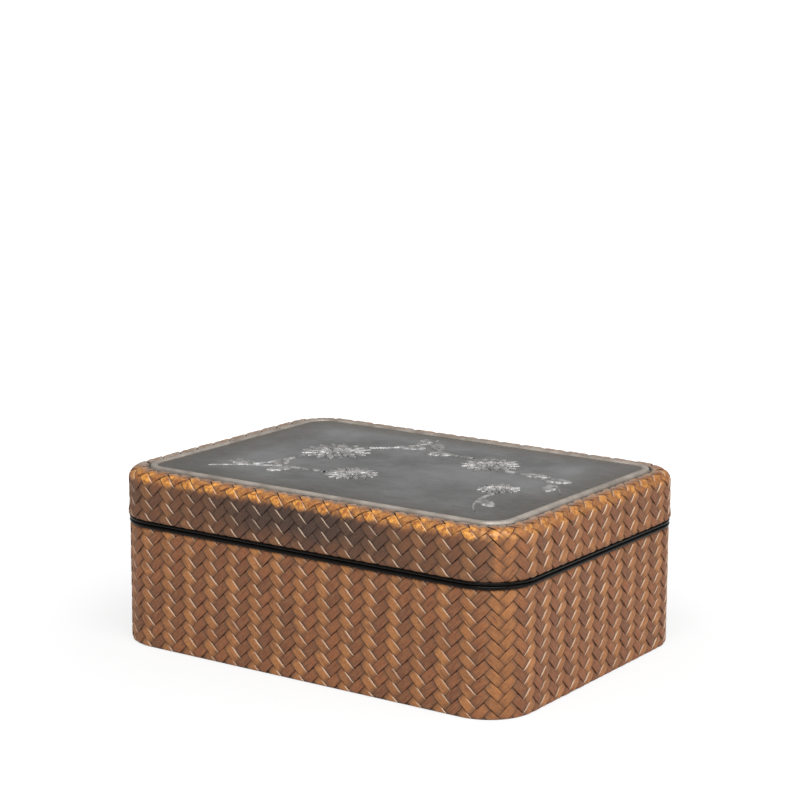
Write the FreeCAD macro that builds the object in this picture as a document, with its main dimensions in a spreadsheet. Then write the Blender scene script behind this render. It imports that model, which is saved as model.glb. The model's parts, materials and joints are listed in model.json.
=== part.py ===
import FreeCAD, Part
import math
import os
import re
import Sketcher

# Ink box with a woven skin: a box, a lid with a metal panel, a tray that lifts out, and the writing
# tools in it. Millimetres. The origin is at the centre of the underside, X runs along the long side,
# and the long front wall faces -Y.

# Driving sizes. An inset is measured inwards from the lid's outer outline.
SIZES = {
    # Lid and box, outside
    "lid_length": 240.0,
    "lid_depth": 177.0,
    "seam_height": 64.8,
    "lid_height": 27.6,
    "corner_radius": 25.4,
    "top_round": 5.5,
    "box_inset": 0.4,
    # Layers of the walls
    "weave_thickness": 1.4,
    "weave_bevel": 1.1,
    "front_columns": 19,
    "end_columns": 13,
    "corner_columns": 4,
    "column_groove_depth": 0.6,
    "column_groove_width": 2.0,
    "wall_thickness": 4.0,
    "floor_thickness": 4.0,
    "board_land": 0.3,
    # Black lacquered rims
    "box_rim_height": 1.8,
    "box_rim_bevel": 0.5,
    "lid_rim_height": 1.6,
    "lid_rim_bevel": 0.5,
    "base_rim_inset": 1.4,
    "base_rim_height": 1.2,
    "base_rim_width": 8.0,
    # Lip that guides the lid
    "lip_thickness": 1.8,
    "lip_stand": 7.0,
    "lip_bevel": 0.5,
    "lid_clearance": 0.4,
    # Panel in the lid
    "frame_inset": 9.3,
    "frame_width": 5.7,
    "frame_stand": 1.2,
    "frame_bevel": 1.1,
    "panel_depth": 1.0,
    # Relief on the panel: each flower's centre from the nearest edges of the panel, and its radius
    "flower_1_from_left": 57.8,
    "flower_1_from_back": 63.3,
    "flower_1_radius": 19.0,
    "flower_2_from_left": 94.8,
    "flower_2_from_front": 45.3,
    "flower_2_radius": 14.0,
    "flower_3_from_right": 68.8,
    "flower_3_from_back": 43.3,
    "flower_3_radius": 16.0,
    "flower_4_from_right": 36.8,
    "flower_4_from_front": 60.3,
    "flower_4_radius": 11.0,
    "petal_count": 16,
    "petal_slimness": 0.12,
    "petal_height": 0.9,
    "heart_share": 0.26,
    "heart_bevel": 0.5,
    "flower_height": 1.5,
    "stem_gap": 0.4,
    "stem_0_length": 52.0,
    "stem_0_bow": 8.0,
    "stem_1_length": 62.0,
    "stem_1_bow": -7.0,
    "stem_2_length": 56.0,
    "stem_2_bow": 8.0,
    "stem_3_length": 36.0,
    "stem_3_bow": -4.0,
    "stem_4_length": 42.0,
    "stem_4_bow": -6.0,
    "stem_5_length": 44.0,
    "stem_5_bow": 6.0,
    "stem_width": 2.2,
    "stem_height": 0.8,
    "leaf_length": 15.0,
    "leaf_width": 6.0,
    # Tray
    "paper_height": 32.8,
    "rail_width": 6.0,
    "rail_height": 6.0,
    "rail_length": 100.0,
    "tray_clearance": 0.5,
    "tray_floor_thickness": 3.0,
    "tray_wall": 3.0,
    "tray_wall_height": 21.0,
    "tray_round": 1.0,
    "divider_thickness": 3.0,
    "divider_height": 15.0,
    "divider_bevel": 0.6,
    # Notched rests for the tools
    "tool_count": 4,
    "tool_gap": 1.3,
    "tool_wall_gap": 1.2,
    "tool_clearance": 0.3,
    "tool_start": 8.9,
    "rest_height": 9.0,
    "rest_thickness": 4.0,
    "rest_start": 28.0,
    "rest_gap": 7.0,
    # Inkstone
    "stone_height": 20.0,
    "stone_corner": 5.0,
    "stone_bevel": 0.9,
    "stone_end_gap": 6.0,
    "stone_side_gap": 12.0,
    "stone_border": 6.0,
    "well_corner": 9.0,
    "land_depth": 2.0,
    "sea_length": 60.0,
    "sea_depth": 11.0,
    "sea_ledge": 1.2,
    "sea_wall": 2.5,
    "sea_slope": 26.0,
    "sea_corner": 6.0,
    # Water dropper
    "dropper_length": 50.0,
    "dropper_depth": 36.0,
    "dropper_height": 18.0,
    "dropper_corner": 11.0,
    "dropper_bevel": 3.6,
    "dropper_wall": 1.2,
    "dropper_base_height": 1.0,
    "dropper_gap": 7.0,
    "air_hole_radius": 1.2,
    "spout_height": 8.0,
    "spout_length": 8.0,
    "spout_root_radius": 3.2,
    "spout_mouth_radius": 2.0,
    "spout_bore_radius": 1.2,
    # Ink stick
    "stick_length": 66.0,
    "stick_depth": 20.0,
    "stick_height": 9.0,
    "stick_corner": 2.5,
    "stick_bevel": 0.9,
    "stick_gap": 7.0,
    "stick_end_gap": 9.0,
    # Brushes
    "large_brush_radius": 3.75,
    "small_brush_radius": 3.2,
    "brush_length": 120.0,
    "tool_edge": 0.8,
    "tip_length": 30.0,
    "tip_inset": 0.5,
    "point_radius": 0.3,
    "cap_clearance": 0.3,
    "cap_overlap": 6.0,
    "cap_wall": 0.8,
    "cap_room": 3.0,
    "cap_end": 2.0,
    # Awl and knife
    "handle_radius": 3.7,
    "handle_overhang": 5.0,
    "ferrule_radius": 2.9,
    "ferrule_length": 8.0,
    "awl_radius": 1.4,
    "awl_length": 46.0,
    "blade_width": 8.0,
    "blade_thickness": 1.2,
    "blade_length": 52.0,
}

# Heights above the ground, worked out from the driving sizes
FLOOR_TOP = "(base_rim_height + floor_thickness)"
BOX_WALL_TOP = "(seam_height - box_rim_height)"
LID_WALL_BOTTOM = "(seam_height + lid_rim_height)"
LIP_TOP = "(seam_height + lip_stand)"
CREST = "(seam_height + lid_height)"
WEAVE_TOP = f"({CREST} - frame_stand)"
BOARD_TOP = f"({WEAVE_TOP} - weave_thickness)"
CEILING = f"({BOARD_TOP} - top_round + weave_thickness - board_land)"
PANEL_TOP = f"({CREST} - panel_depth)"
TRAY_BOTTOM = f"({FLOOR_TOP} + paper_height)"
TRAY_FLOOR_TOP = f"({TRAY_BOTTOM} + tray_floor_thickness)"
TOOL_HEIGHT = f"({TRAY_FLOOR_TOP} + rest_height)"

# Insets from the lid's outer outline
LID_CORE = "weave_thickness"
BOX_CORE = "(box_inset + weave_thickness)"
BOX_INNER = f"({BOX_CORE} + wall_thickness)"
LID_INNER = f"({BOX_INNER} - lid_clearance)"
LIP_INNER = f"({BOX_INNER} + lip_thickness)"
TRAY_OUTER = f"({LIP_INNER} + tray_clearance)"
TRAY_INNER = f"({TRAY_OUTER} + tray_wall)"
FRAME_INNER = "(frame_inset + frame_width)"

# Tools lie side by side, as far apart as the large brush's cap needs
CAP_BORE = "({brush} + cap_clearance)"
CAP_RADIUS = "({brush} + cap_clearance + cap_wall)"
TOOL_PITCH = f"(2 * {CAP_RADIUS.format(brush='large_brush_radius')} + tool_gap)"
TOOL_ROOM = f"(tool_count * {TOOL_PITCH} + 2 * tool_wall_gap)"
TOOLS = {
    "brush_large": "large_brush_radius",
    "brush_small": "small_brush_radius",
    "awl": "handle_radius",
    "knife": "handle_radius",
}

# Inside of the tray, measured from the box's middle
TRAY_LEFT = f"({TRAY_INNER} - lid_length / 2)"
TRAY_RIGHT = f"(lid_length / 2 - {TRAY_INNER})"
TRAY_FRONT = f"({TRAY_INNER} - lid_depth / 2)"
TRAY_BACK = f"(lid_depth / 2 - {TRAY_INNER})"
REAR_FRONT = f"({TRAY_FRONT} + {TOOL_ROOM} + divider_thickness)"
TOOL_LEFT = f"({TRAY_LEFT} + tool_start)"
CAP_LEFT = f"({TOOL_LEFT} + brush_length - cap_overlap)"
CAP_LENGTH = "(cap_overlap + tip_length + cap_room + cap_end)"
REST_LEFT = f"({TOOL_LEFT} + rest_start)"
REST_RIGHT = f"({CAP_LEFT} - rest_gap - rest_thickness)"
HANDLE_LENGTH = "(brush_length - cap_overlap - rest_gap + handle_overhang)"

# The inkstone fills what the ink stick leaves of the rear compartment
STONE_LEFT = f"({TRAY_LEFT} + stone_end_gap)"
STONE_RIGHT = f"({TRAY_RIGHT} - stick_length - 2 * stick_end_gap)"
STONE_LENGTH = f"({STONE_RIGHT} - {STONE_LEFT})"
STONE_DEPTH = f"({TRAY_BACK} - {REAR_FRONT} - 2 * stone_side_gap)"
STONE_MIDDLE = (f"({STONE_LEFT} + {STONE_RIGHT}) / 2", f"({REAR_FRONT} + {TRAY_BACK}) / 2")
STONE_TOP = f"({TRAY_FLOOR_TOP} + stone_height)"
SIDE_MIDDLE = f"(({STONE_RIGHT} + {TRAY_RIGHT}) / 2)"

# Centres of the flowers, measured in from the panel's edges
PANEL_END = f"(lid_length / 2 - {FRAME_INNER})"
PANEL_SIDE = f"(lid_depth / 2 - {FRAME_INNER})"
FLOWERS = {
    "flower_1": (f"(flower_1_from_left - {PANEL_END})", f"({PANEL_SIDE} - flower_1_from_back)"),
    "flower_2": (f"(flower_2_from_left - {PANEL_END})", f"(flower_2_from_front - {PANEL_SIDE})"),
    "flower_3": (f"({PANEL_END} - flower_3_from_right)", f"({PANEL_SIDE} - flower_3_from_back)"),
    "flower_4": (f"({PANEL_END} - flower_4_from_right)", f"(flower_4_from_front - {PANEL_SIDE})"),
}
# Stems leave their flower at an angle, and each one's length and bow to the left are on the sheet
STEMS = [("flower_1", -118), ("flower_2", -160), ("flower_3", -30), ("flower_4", -72),
         ("flower_1", 62), ("flower_3", 155)]
# Leaves stand on a stem: its number, the share of its length, the turn from its heading
LEAVES = [(0, 0.25, 48), (0, 0.6, -42), (1, 0.3, 40), (1, 0.66, -45), (2, 0.18, 42), (2, 0.66, -46),
          (2, 0.45, 40), (3, 0.4, 46), (4, 0.35, -40), (4, 0.65, 38), (5, 0.3, 44), (5, 0.62, -40)]
# Heights nearer than this count as the same
NEAR = 1e-4

doc = FreeCAD.newDocument("InkBox")
sheet = doc.addObject("Spreadsheet::Sheet", "Sizes")
for row, (alias, number) in enumerate(SIZES.items(), start=1):
    sheet.set(f"A{row}", alias)
    sheet.set(f"B{row}", str(number))
    sheet.setAlias(f"B{row}", alias)
doc.recompute()


def formula(words):
    """An expression on the sheet's cells, from plain words such as 'seam_height - box_rim_height'."""
    return re.sub(r"[a-z][a-z_0-9]*", lambda word: f"Sizes.{word[0]}" if word[0] in SIZES else word[0],
                  words)


def value(words):
    return float(sheet.evalExpression(formula(words)))


def bind(item, name, words):
    item.setExpression(name, formula(words))


def new_body(name):
    body = doc.addObject("PartDesign::Body", name)
    body.Label = name
    return body


def new_sketch(body, name, plane="XY_Plane", place=("0", "0", "0")):
    """A sketch on one of its body's origin planes, moved within that plane's own axes."""
    sketch = body.newObject("Sketcher::SketchObject", name)
    origin_plane = [item for item in body.Origin.OriginFeatures if item.Role == plane][0]
    sketch.AttachmentSupport = [(origin_plane, "")]
    sketch.MapMode = "FlatFace"
    for axis, words in zip("xyz", place):
        bind(sketch, f".AttachmentOffset.Base.{axis}", words)
    return sketch


def drive(sketch, constraint, name, words):
    """Add a named constraint whose size comes from the sheet."""
    index = sketch.addConstraint(constraint)
    sketch.renameConstraint(index, name)
    bind(sketch, f"Constraints.{name}", words)


def polygon(body, name, points, plane="XY_Plane", place=("0", "0", "0")):
    """A closed outline of straight lines through points, each coordinate a formula from zero up."""
    sketch = new_sketch(body, name, plane, place)
    corners = [FreeCAD.Vector(value(x), value(y), 0) for x, y in points]
    count = len(points)
    for index in range(count):
        sketch.addGeometry(Part.LineSegment(corners[index], corners[(index + 1) % count]))
    for index in range(count):
        sketch.addConstraint(Sketcher.Constraint("Coincident", index, 2, (index + 1) % count, 1))
    for index, (x, y) in enumerate(points):
        if x == "0":
            sketch.addConstraint(Sketcher.Constraint("PointOnObject", index, 1, -2))
        else:
            along = Sketcher.Constraint("DistanceX", -1, 1, index, 1, value(x))
            drive(sketch, along, f"across_{index}", x)
        if y == "0":
            sketch.addConstraint(Sketcher.Constraint("PointOnObject", index, 1, -1))
        else:
            up = Sketcher.Constraint("DistanceY", -1, 1, index, 1, value(y))
            drive(sketch, up, f"up_{index}", y)
    return sketch


def add_round_rectangle(sketch, name, length, depth, radius):
    """Four lines and four tangent arcs round the sketch's origin."""
    half_length = value(length) / 2
    half_depth = value(depth) / 2
    corner = value(radius)
    x = half_length - corner
    y = half_depth - corner
    first = sketch.GeometryCount
    normal = FreeCAD.Vector(0, 0, 1)
    sides = [((-x, -half_depth), (x, -half_depth)), ((half_length, -y), (half_length, y)),
             ((x, half_depth), (-x, half_depth)), ((-half_length, y), (-half_length, -y))]
    centres = [(x, -y), (x, y), (-x, y), (-x, -y)]
    for turn, (side, centre) in enumerate(zip(sides, centres)):
        start, end = (FreeCAD.Vector(*point, 0) for point in side)
        sketch.addGeometry(Part.LineSegment(start, end))
        circle = Part.Circle(FreeCAD.Vector(*centre, 0), normal, corner)
        begin = (turn - 1) * math.pi / 2
        sketch.addGeometry(Part.ArcOfCircle(circle, begin, begin + math.pi / 2))
    for turn in range(4):
        line = first + 2 * turn
        arc = line + 1
        next_line = first + (2 * turn + 2) % 8
        sketch.addConstraint(Sketcher.Constraint("Tangent", line, 2, arc, 1))
        sketch.addConstraint(Sketcher.Constraint("Tangent", arc, 2, next_line, 1))
        level = "Horizontal" if turn % 2 == 0 else "Vertical"
        sketch.addConstraint(Sketcher.Constraint(level, line))
    for turn in range(1, 4):
        sketch.addConstraint(Sketcher.Constraint("Equal", first + 1, first + 1 + 2 * turn))
    sketch.addConstraint(Sketcher.Constraint("Symmetric", first + 1, 3, first + 5, 3, -1, 1))
    drive(sketch, Sketcher.Constraint("Radius", first + 1, corner), f"{name}_radius", radius)
    across = Sketcher.Constraint("DistanceX", first + 6, 1, first + 2, 1, 2 * half_length)
    drive(sketch, across, f"{name}_length", length)
    deep = Sketcher.Constraint("DistanceY", first, 1, first + 4, 1, 2 * half_depth)
    drive(sketch, deep, f"{name}_depth", depth)


def round_rectangle(body, name, length, depth, radius, place=("0", "0", "0")):
    sketch = new_sketch(body, name, place=place)
    add_round_rectangle(sketch, name, length, depth, radius)
    return sketch


def outline(body, name, height, insets):
    """The box's outline at one or two insets from the lid's outside, as a disc or a ring."""
    sketch = new_sketch(body, name, place=("0", "0", height))
    for index, inset in enumerate(insets):
        add_round_rectangle(sketch, f"ring_{index}", f"lid_length - 2 * {inset}",
                            f"lid_depth - 2 * {inset}", f"corner_radius - {inset}")
    return sketch


def pad(body, sketch, length, side="One side"):
    feature = body.newObject("PartDesign::Pad", f"{sketch.Name}_pad")
    feature.Profile = sketch
    feature.SideType = side
    bind(feature, "Length", length)
    doc.recompute()
    return feature


def pocket(body, sketch, length, side="One side"):
    """A cut that goes down from its sketch, or to both sides of it, and must take something away."""
    before = body.Tip.Shape.Volume
    feature = body.newObject("PartDesign::Pocket", f"{sketch.Name}_pocket")
    feature.Profile = sketch
    feature.SideType = side
    bind(feature, "Length", length)
    doc.recompute()
    if feature.Shape.Volume >= before:
        raise RuntimeError(f"{feature.Name} cuts nothing")
    return feature


def revolve(body, sketch):
    """The profile turned once about the sketch's horizontal axis."""
    feature = body.newObject("PartDesign::Revolution", f"{sketch.Name}_turn")
    feature.Profile = sketch
    feature.ReferenceAxis = (sketch, ["H_Axis"])
    feature.Angle = 360
    doc.recompute()
    return feature


def level_edges(shape, height, which):
    """Names of the edges that lie flat at a height: the outer outline, all of them or the long ones."""
    found = {}
    for index, edge in enumerate(shape.Edges, start=1):
        box = edge.BoundBox
        if abs(box.ZMin - height) < NEAR and abs(box.ZMax - height) < NEAR:
            found[f"Edge{index}"] = edge
    if which == "all":
        return list(found)
    if which == "long":
        return [name for name, edge in found.items() if edge.BoundBox.XLength > edge.BoundBox.YLength]
    loops = Part.sortEdges(list(found.values()))
    widest = max(loops, key=lambda loop: Part.Wire(loop).BoundBox.DiagonalLength)
    return [name for name, edge in found.items() if any(edge.isSame(other) for other in widest)]


def dress(body, kind, height, which):
    """A fillet or a chamfer on the level edges at a height."""
    base = body.Tip
    names = level_edges(base.Shape, value(height), which)
    feature = body.newObject(f"PartDesign::{kind}", f"{body.Name}_{kind.lower()}_{len(body.Group)}")
    feature.Base = (base, names)
    return feature


def fillet(body, height, radius, which="outer"):
    feature = dress(body, "Fillet", height, which)
    bind(feature, "Radius", radius)
    doc.recompute()
    return feature


def bevel(body, height, size, which="outer"):
    feature = dress(body, "Chamfer", height, which)
    bind(feature, "Size", size)
    doc.recompute()
    return feature


def hollow(body, solid, bottom, wall):
    """Hollow a solid out from below, to one wall thickness."""
    under = [f"Face{index}" for index, face in enumerate(solid.Shape.Faces, start=1)
             if face.BoundBox.ZMax < value(bottom) + NEAR]
    shell = body.newObject("PartDesign::Thickness", f"{body.Name}_hollow")
    shell.Base = (solid, under)
    bind(shell, "Value", wall)
    shell.Join = "Intersection"
    shell.Reversed = True
    doc.recompute()


def repeat(body, feature, kind, sketch, axis, reach, count):
    """A feature repeated along or about its sketch's axis: a length or an angle, and how many in all."""
    pattern = body.newObject(f"PartDesign::{kind}", f"{feature.Name}_row")
    pattern.Originals = [feature]
    pattern.Refine = False
    if kind == "LinearPattern":
        pattern.Direction = (sketch, [axis])
        bind(pattern, "Length", reach)
    else:
        pattern.Axis = (sketch, [axis])
        bind(pattern, "Angle", reach)
    bind(pattern, "Occurrences", count)
    body.Tip = pattern
    doc.recompute()


def disc(body, name, plane, place, radius):
    sketch = new_sketch(body, name, plane, place)
    size = value(radius)
    sketch.addGeometry(Part.Circle(FreeCAD.Vector(0, 0, 0), FreeCAD.Vector(0, 0, 1), size))
    sketch.addConstraint(Sketcher.Constraint("Coincident", 0, 3, -1, 1))
    drive(sketch, Sketcher.Constraint("Radius", 0, size), "disc_radius", radius)
    return sketch


def ring(name, bottom, top, outer, inner):
    body = new_body(name)
    pad(body, outline(body, f"{name}_outline", bottom, [outer, inner]), f"{top} - {bottom}")
    return body


def board(name, bottom, top, inset):
    body = new_body(name)
    pad(body, outline(body, f"{name}_outline", bottom, [inset]), f"{top} - {bottom}")
    return body


def bar(name, size, corner):
    """A straight bar from its lowest corner, as length, depth and height."""
    body = new_body(name)
    length, depth, height = size
    points = [("0", "0"), (length, "0"), (length, depth), ("0", depth)]
    pad(body, polygon(body, f"{name}_plan", points, place=corner), height)
    return body


def turned(name, points, place):
    """A round piece along X, from its profile of distance and radius, starting at place."""
    body = new_body(name)
    revolve(body, polygon(body, f"{name}_profile", points, plane="XZ_Plane"))
    for axis, words in zip("xyz", place):
        bind(body, f".Placement.Base.{axis}", words)
    doc.recompute()
    return body


# Box
def make_box():
    base = ring("base_rim", "0", "base_rim_height", "base_rim_inset",
                "(base_rim_inset + base_rim_width)")
    floor = board("box_floor", "base_rim_height", FLOOR_TOP, BOX_CORE)
    walls = ring("box_walls", FLOOR_TOP, BOX_WALL_TOP, BOX_CORE, BOX_INNER)
    weave = ring("box_weave", "base_rim_height", BOX_WALL_TOP, "box_inset", BOX_CORE)
    bevel(weave, "base_rim_height", "weave_bevel")
    cut_columns(weave, BOX_WALL_TOP, "base_rim_height", "box_inset")
    rim = ring("box_rim", BOX_WALL_TOP, "seam_height", "0", BOX_INNER)
    bevel(rim, "seam_height", "box_rim_bevel")
    lip = ring("inner_lip", FLOOR_TOP, LIP_TOP, BOX_INNER, LIP_INNER)
    bevel(lip, LIP_TOP, "lip_bevel")
    return [base, floor, walls, weave, rim, lip]


def groove_outline(body, name, place, turn, reach):
    """A notch that points inwards; its sketch's X axis leaves the wall at right angles."""
    sketch = new_sketch(body, name, place=place)
    offset = sketch.AttachmentOffset
    offset.Rotation = FreeCAD.Rotation(FreeCAD.Vector(0, 0, 1), turn)
    sketch.AttachmentOffset = offset
    tip = f"{reach} - column_groove_depth"
    base = f"{reach} + column_groove_depth"
    side = value("column_groove_width")
    corners = [FreeCAD.Vector(value(tip), 0, 0), FreeCAD.Vector(value(base), side, 0),
               FreeCAD.Vector(value(base), -side, 0)]
    for index in range(3):
        sketch.addGeometry(Part.LineSegment(corners[index], corners[(index + 1) % 3]))
    for index in range(3):
        sketch.addConstraint(Sketcher.Constraint("Coincident", index, 2, (index + 1) % 3, 1))
    sketch.addConstraint(Sketcher.Constraint("PointOnObject", 0, 1, -1))
    sketch.addConstraint(Sketcher.Constraint("Symmetric", 1, 1, 2, 1, -1))
    drive(sketch, Sketcher.Constraint("DistanceX", -1, 1, 0, 1, value(tip)), "tip", tip)
    drive(sketch, Sketcher.Constraint("DistanceX", -1, 1, 1, 1, value(base)), "base", base)
    drive(sketch, Sketcher.Constraint("DistanceY", -1, 1, 1, 1, side), "half_base", "column_groove_width")
    return sketch


def cut_columns(body, top, bottom, inset):
    """Upright grooves all round a woven wall, for the valleys between the columns of its herringbone."""
    front = "(lid_length - 2 * corner_radius)"
    end = "(lid_depth - 2 * corner_radius)"
    front_start = f"{front} * (1 / front_columns - 0.5)"
    end_start = f"{end} * (1 / end_columns - 0.5)"
    walls = [(-90, (front_start, "0"), front, "front_columns", "lid_depth"),
             (0, ("0", end_start), end, "end_columns", "lid_length"),
             (90, (f"-{front_start}", "0"), front, "front_columns", "lid_depth"),
             (180, ("0", f"-{end_start}"), end, "end_columns", "lid_length")]
    for index, (turn, place, stretch, count, across) in enumerate(walls):
        name = f"{body.Name}_wall_{index}"
        notch = groove_outline(body, name, (*place, top), turn, f"{across} / 2 - {inset}")
        groove = pocket(body, notch, f"{top} - {bottom}")
        repeat(body, groove, "LinearPattern", notch, "V_Axis", f"{stretch} * (1 - 2 / {count})", f"{count} - 1")
    x = "(lid_length / 2 - corner_radius)"
    y = "(lid_depth / 2 - corner_radius)"
    corners = [(-90, (x, f"-{y}")), (0, (x, y)), (90, (f"-{x}", y)), (180, (f"-{x}", f"-{y}"))]
    for index, (turn, place) in enumerate(corners):
        notch = groove_outline(body, f"{body.Name}_corner_{index}", (*place, top), turn,
                               f"corner_radius - {inset}")
        groove = pocket(body, notch, f"{top} - {bottom}")
        repeat(body, groove, "PolarPattern", notch, "N_Axis", "90 deg", "corner_columns + 1")


def make_tray_rests():
    """A rail on each end wall, against the lip's inner face."""
    size = ("rail_width", "rail_length", "rail_height")
    low = f"{TRAY_BOTTOM} - rail_height"
    front = "-rail_length / 2"
    left = bar("tray_rest_left", size, (f"{LIP_INNER} - lid_length / 2", front, low))
    right = bar("tray_rest_right", size, (f"lid_length / 2 - {LIP_INNER} - rail_width", front, low))
    return [left, right]


# Lid
def make_lid():
    walls = ring("lid_walls", LID_WALL_BOTTOM, CEILING, LID_CORE, LID_INNER)
    top_board = board("lid_board", CEILING, BOARD_TOP, LID_CORE)
    fillet(top_board, BOARD_TOP, "top_round - weave_thickness")
    rim = ring("lid_rim", "seam_height", LID_WALL_BOTTOM, "0", LID_INNER)
    bevel(rim, "seam_height", "lid_rim_bevel")
    return [walls, top_board, make_lid_weave(), rim]


def make_lid_weave():
    """A rounded shell, open below, with a window in its top for the panel and its frame."""
    body = board("lid_weave", LID_WALL_BOTTOM, WEAVE_TOP, "0")
    rounded = fillet(body, WEAVE_TOP, "top_round")
    hollow(body, rounded, LID_WALL_BOTTOM, "weave_thickness")
    pocket(body, outline(body, "lid_weave_window", WEAVE_TOP, ["frame_inset"]), "2 * weave_thickness")
    cut_columns(body, f"{WEAVE_TOP} - top_round", LID_WALL_BOTTOM, "0")
    return body


def make_panel():
    frame = ring("panel_frame", BOARD_TOP, CREST, "frame_inset", FRAME_INNER)
    bevel(frame, CREST, "frame_bevel", which="all")
    plate = board("panel", BOARD_TOP, PANEL_TOP, FRAME_INNER)
    return [frame, plate]


# Relief
def arc_radius(length, bow):
    """Radius of the arc over a chord, as a formula of the chord and its bow."""
    return f"(({length}) * ({length}) / 4 + ({bow}) * ({bow})) / (2 * ({bow}))"


def blade_outline(body, name, place, angle, length, bows):
    """Two arcs from the sketch's origin to one tip: a petal, a leaf or a tapering stem."""
    sketch = new_sketch(body, name, place=place)
    offset = sketch.AttachmentOffset
    offset.Rotation = FreeCAD.Rotation(FreeCAD.Vector(0, 0, 1), angle)
    sketch.AttachmentOffset = offset
    chord = value(length)
    root = FreeCAD.Vector(0, 0, 0)
    end = FreeCAD.Vector(chord, 0, 0)
    for bow in bows:
        sketch.addGeometry(Part.Arc(root, FreeCAD.Vector(chord / 2, value(bow), 0), end))
    for index, bow in enumerate(bows):
        root_end, tip_end = (2, 1) if value(bow) > 0 else (1, 2)
        sketch.addConstraint(Sketcher.Constraint("Coincident", index, root_end, -1, 1))
        if index == 0:
            sketch.addConstraint(Sketcher.Constraint("PointOnObject", 0, tip_end, -1))
            reach = Sketcher.Constraint("DistanceX", -1, 1, 0, tip_end, chord)
            drive(sketch, reach, "reach", length)
            first_tip = tip_end
        else:
            sketch.addConstraint(Sketcher.Constraint("Coincident", index, tip_end, 0, first_tip))
        curve = f"abs({arc_radius(length, bow)})"
        drive(sketch, Sketcher.Constraint("Radius", index, value(curve)), f"curve_{index}", curve)
    return sketch


def petal_outline(body, name, place, length, half_width):
    """A slender kite from the sketch's origin to its tip, as wide in its middle as twice half_width."""
    sketch = new_sketch(body, name, place=place)
    reach, side = value(length), value(half_width)
    points = [(0, 0), (reach / 2, side), (reach, 0), (reach / 2, -side)]
    corners = [FreeCAD.Vector(*point, 0) for point in points]
    for index in range(4):
        sketch.addGeometry(Part.LineSegment(corners[index], corners[(index + 1) % 4]))
    for index in range(4):
        sketch.addConstraint(Sketcher.Constraint("Coincident", index, 2, (index + 1) % 4, 1))
    sketch.addConstraint(Sketcher.Constraint("Coincident", 0, 1, -1, 1))
    sketch.addConstraint(Sketcher.Constraint("PointOnObject", 2, 1, -1))
    sketch.addConstraint(Sketcher.Constraint("Symmetric", 1, 1, 3, 1, -1))
    drive(sketch, Sketcher.Constraint("DistanceX", -1, 1, 2, 1, reach), "reach", length)
    drive(sketch, Sketcher.Constraint("DistanceX", -1, 1, 1, 1, reach / 2), "middle", f"{length} / 2")
    drive(sketch, Sketcher.Constraint("DistanceY", -1, 1, 1, 1, side), "half_width", half_width)
    return sketch


def make_flower(name):
    """Slender petals round a raised heart, standing on the panel."""
    body = new_body(name)
    place = (*FLOWERS[name], PANEL_TOP)
    radius = f"{name}_radius"
    sketch = petal_outline(body, f"{name}_petal", place, radius, f"petal_slimness * {radius}")
    petal = pad(body, sketch, "petal_height")
    repeat(body, petal, "PolarPattern", sketch, "N_Axis", "360 deg", "petal_count")
    heart = disc(body, f"{name}_heart", "XY_Plane", place, f"{radius} * heart_share")
    pad(body, heart, "flower_height")
    bevel(body, f"{PANEL_TOP} + flower_height", "heart_bevel")
    return body


def stem_place(flower, angle, along, aside):
    """A point beside a stem's straight chord, which starts clear of the flower's petals."""
    across, deep = FLOWERS[flower]
    reach = f"({flower}_radius + stem_gap + {along})"
    return (f"{across} + {reach} * cos({angle} deg) - ({aside}) * sin({angle} deg)",
            f"{deep} + {reach} * sin({angle} deg) + ({aside}) * cos({angle} deg)", PANEL_TOP)


def make_stems_and_leaves():
    body = new_body("stems_and_leaves")
    body.AllowCompound = True
    for index, (flower, angle) in enumerate(STEMS):
        place = stem_place(flower, angle, "0", "0")
        bows = (f"stem_{index}_bow + stem_width / 2", f"stem_{index}_bow - stem_width / 2")
        stem = blade_outline(body, f"stem_{index}", place, angle, f"stem_{index}_length", bows)
        pad(body, stem, "stem_height")
    for index, (stem, share, turn) in enumerate(LEAVES):
        flower, angle = STEMS[stem]
        place = stem_place(flower, angle, f"{share} * stem_{stem}_length",
                           f"{4 * share * (1 - share):.4f} * stem_{stem}_bow")
        bows = ("leaf_width / 2", "-leaf_width / 2")
        leaf = blade_outline(body, f"leaf_{index}", place, angle + turn, "leaf_length", bows)
        pad(body, leaf, "stem_height")
    return body


# Tray
def make_tray():
    floor = board("tray_floor", TRAY_BOTTOM, TRAY_FLOOR_TOP, TRAY_OUTER)
    top = f"({TRAY_FLOOR_TOP} + tray_wall_height)"
    frame = ring("tray_frame", TRAY_FLOOR_TOP, top, TRAY_OUTER, TRAY_INNER)
    fillet(frame, top, "tray_round", which="all")
    size = (f"{TRAY_RIGHT} - {TRAY_LEFT}", "divider_thickness", "divider_height")
    corner = (TRAY_LEFT, f"{TRAY_FRONT} + {TOOL_ROOM}", TRAY_FLOOR_TOP)
    divider = bar("tray_divider", size, corner)
    bevel(divider, f"{TRAY_FLOOR_TOP} + divider_height", "divider_bevel", which="long")
    return [floor, frame, divider, make_rest("left", REST_LEFT), make_rest("right", REST_RIGHT)]


def tool_across(index):
    """Height, and distance from the front, of a tool's axis."""
    return f"tool_wall_gap + ({index} + 0.5) * {TOOL_PITCH}"


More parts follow.
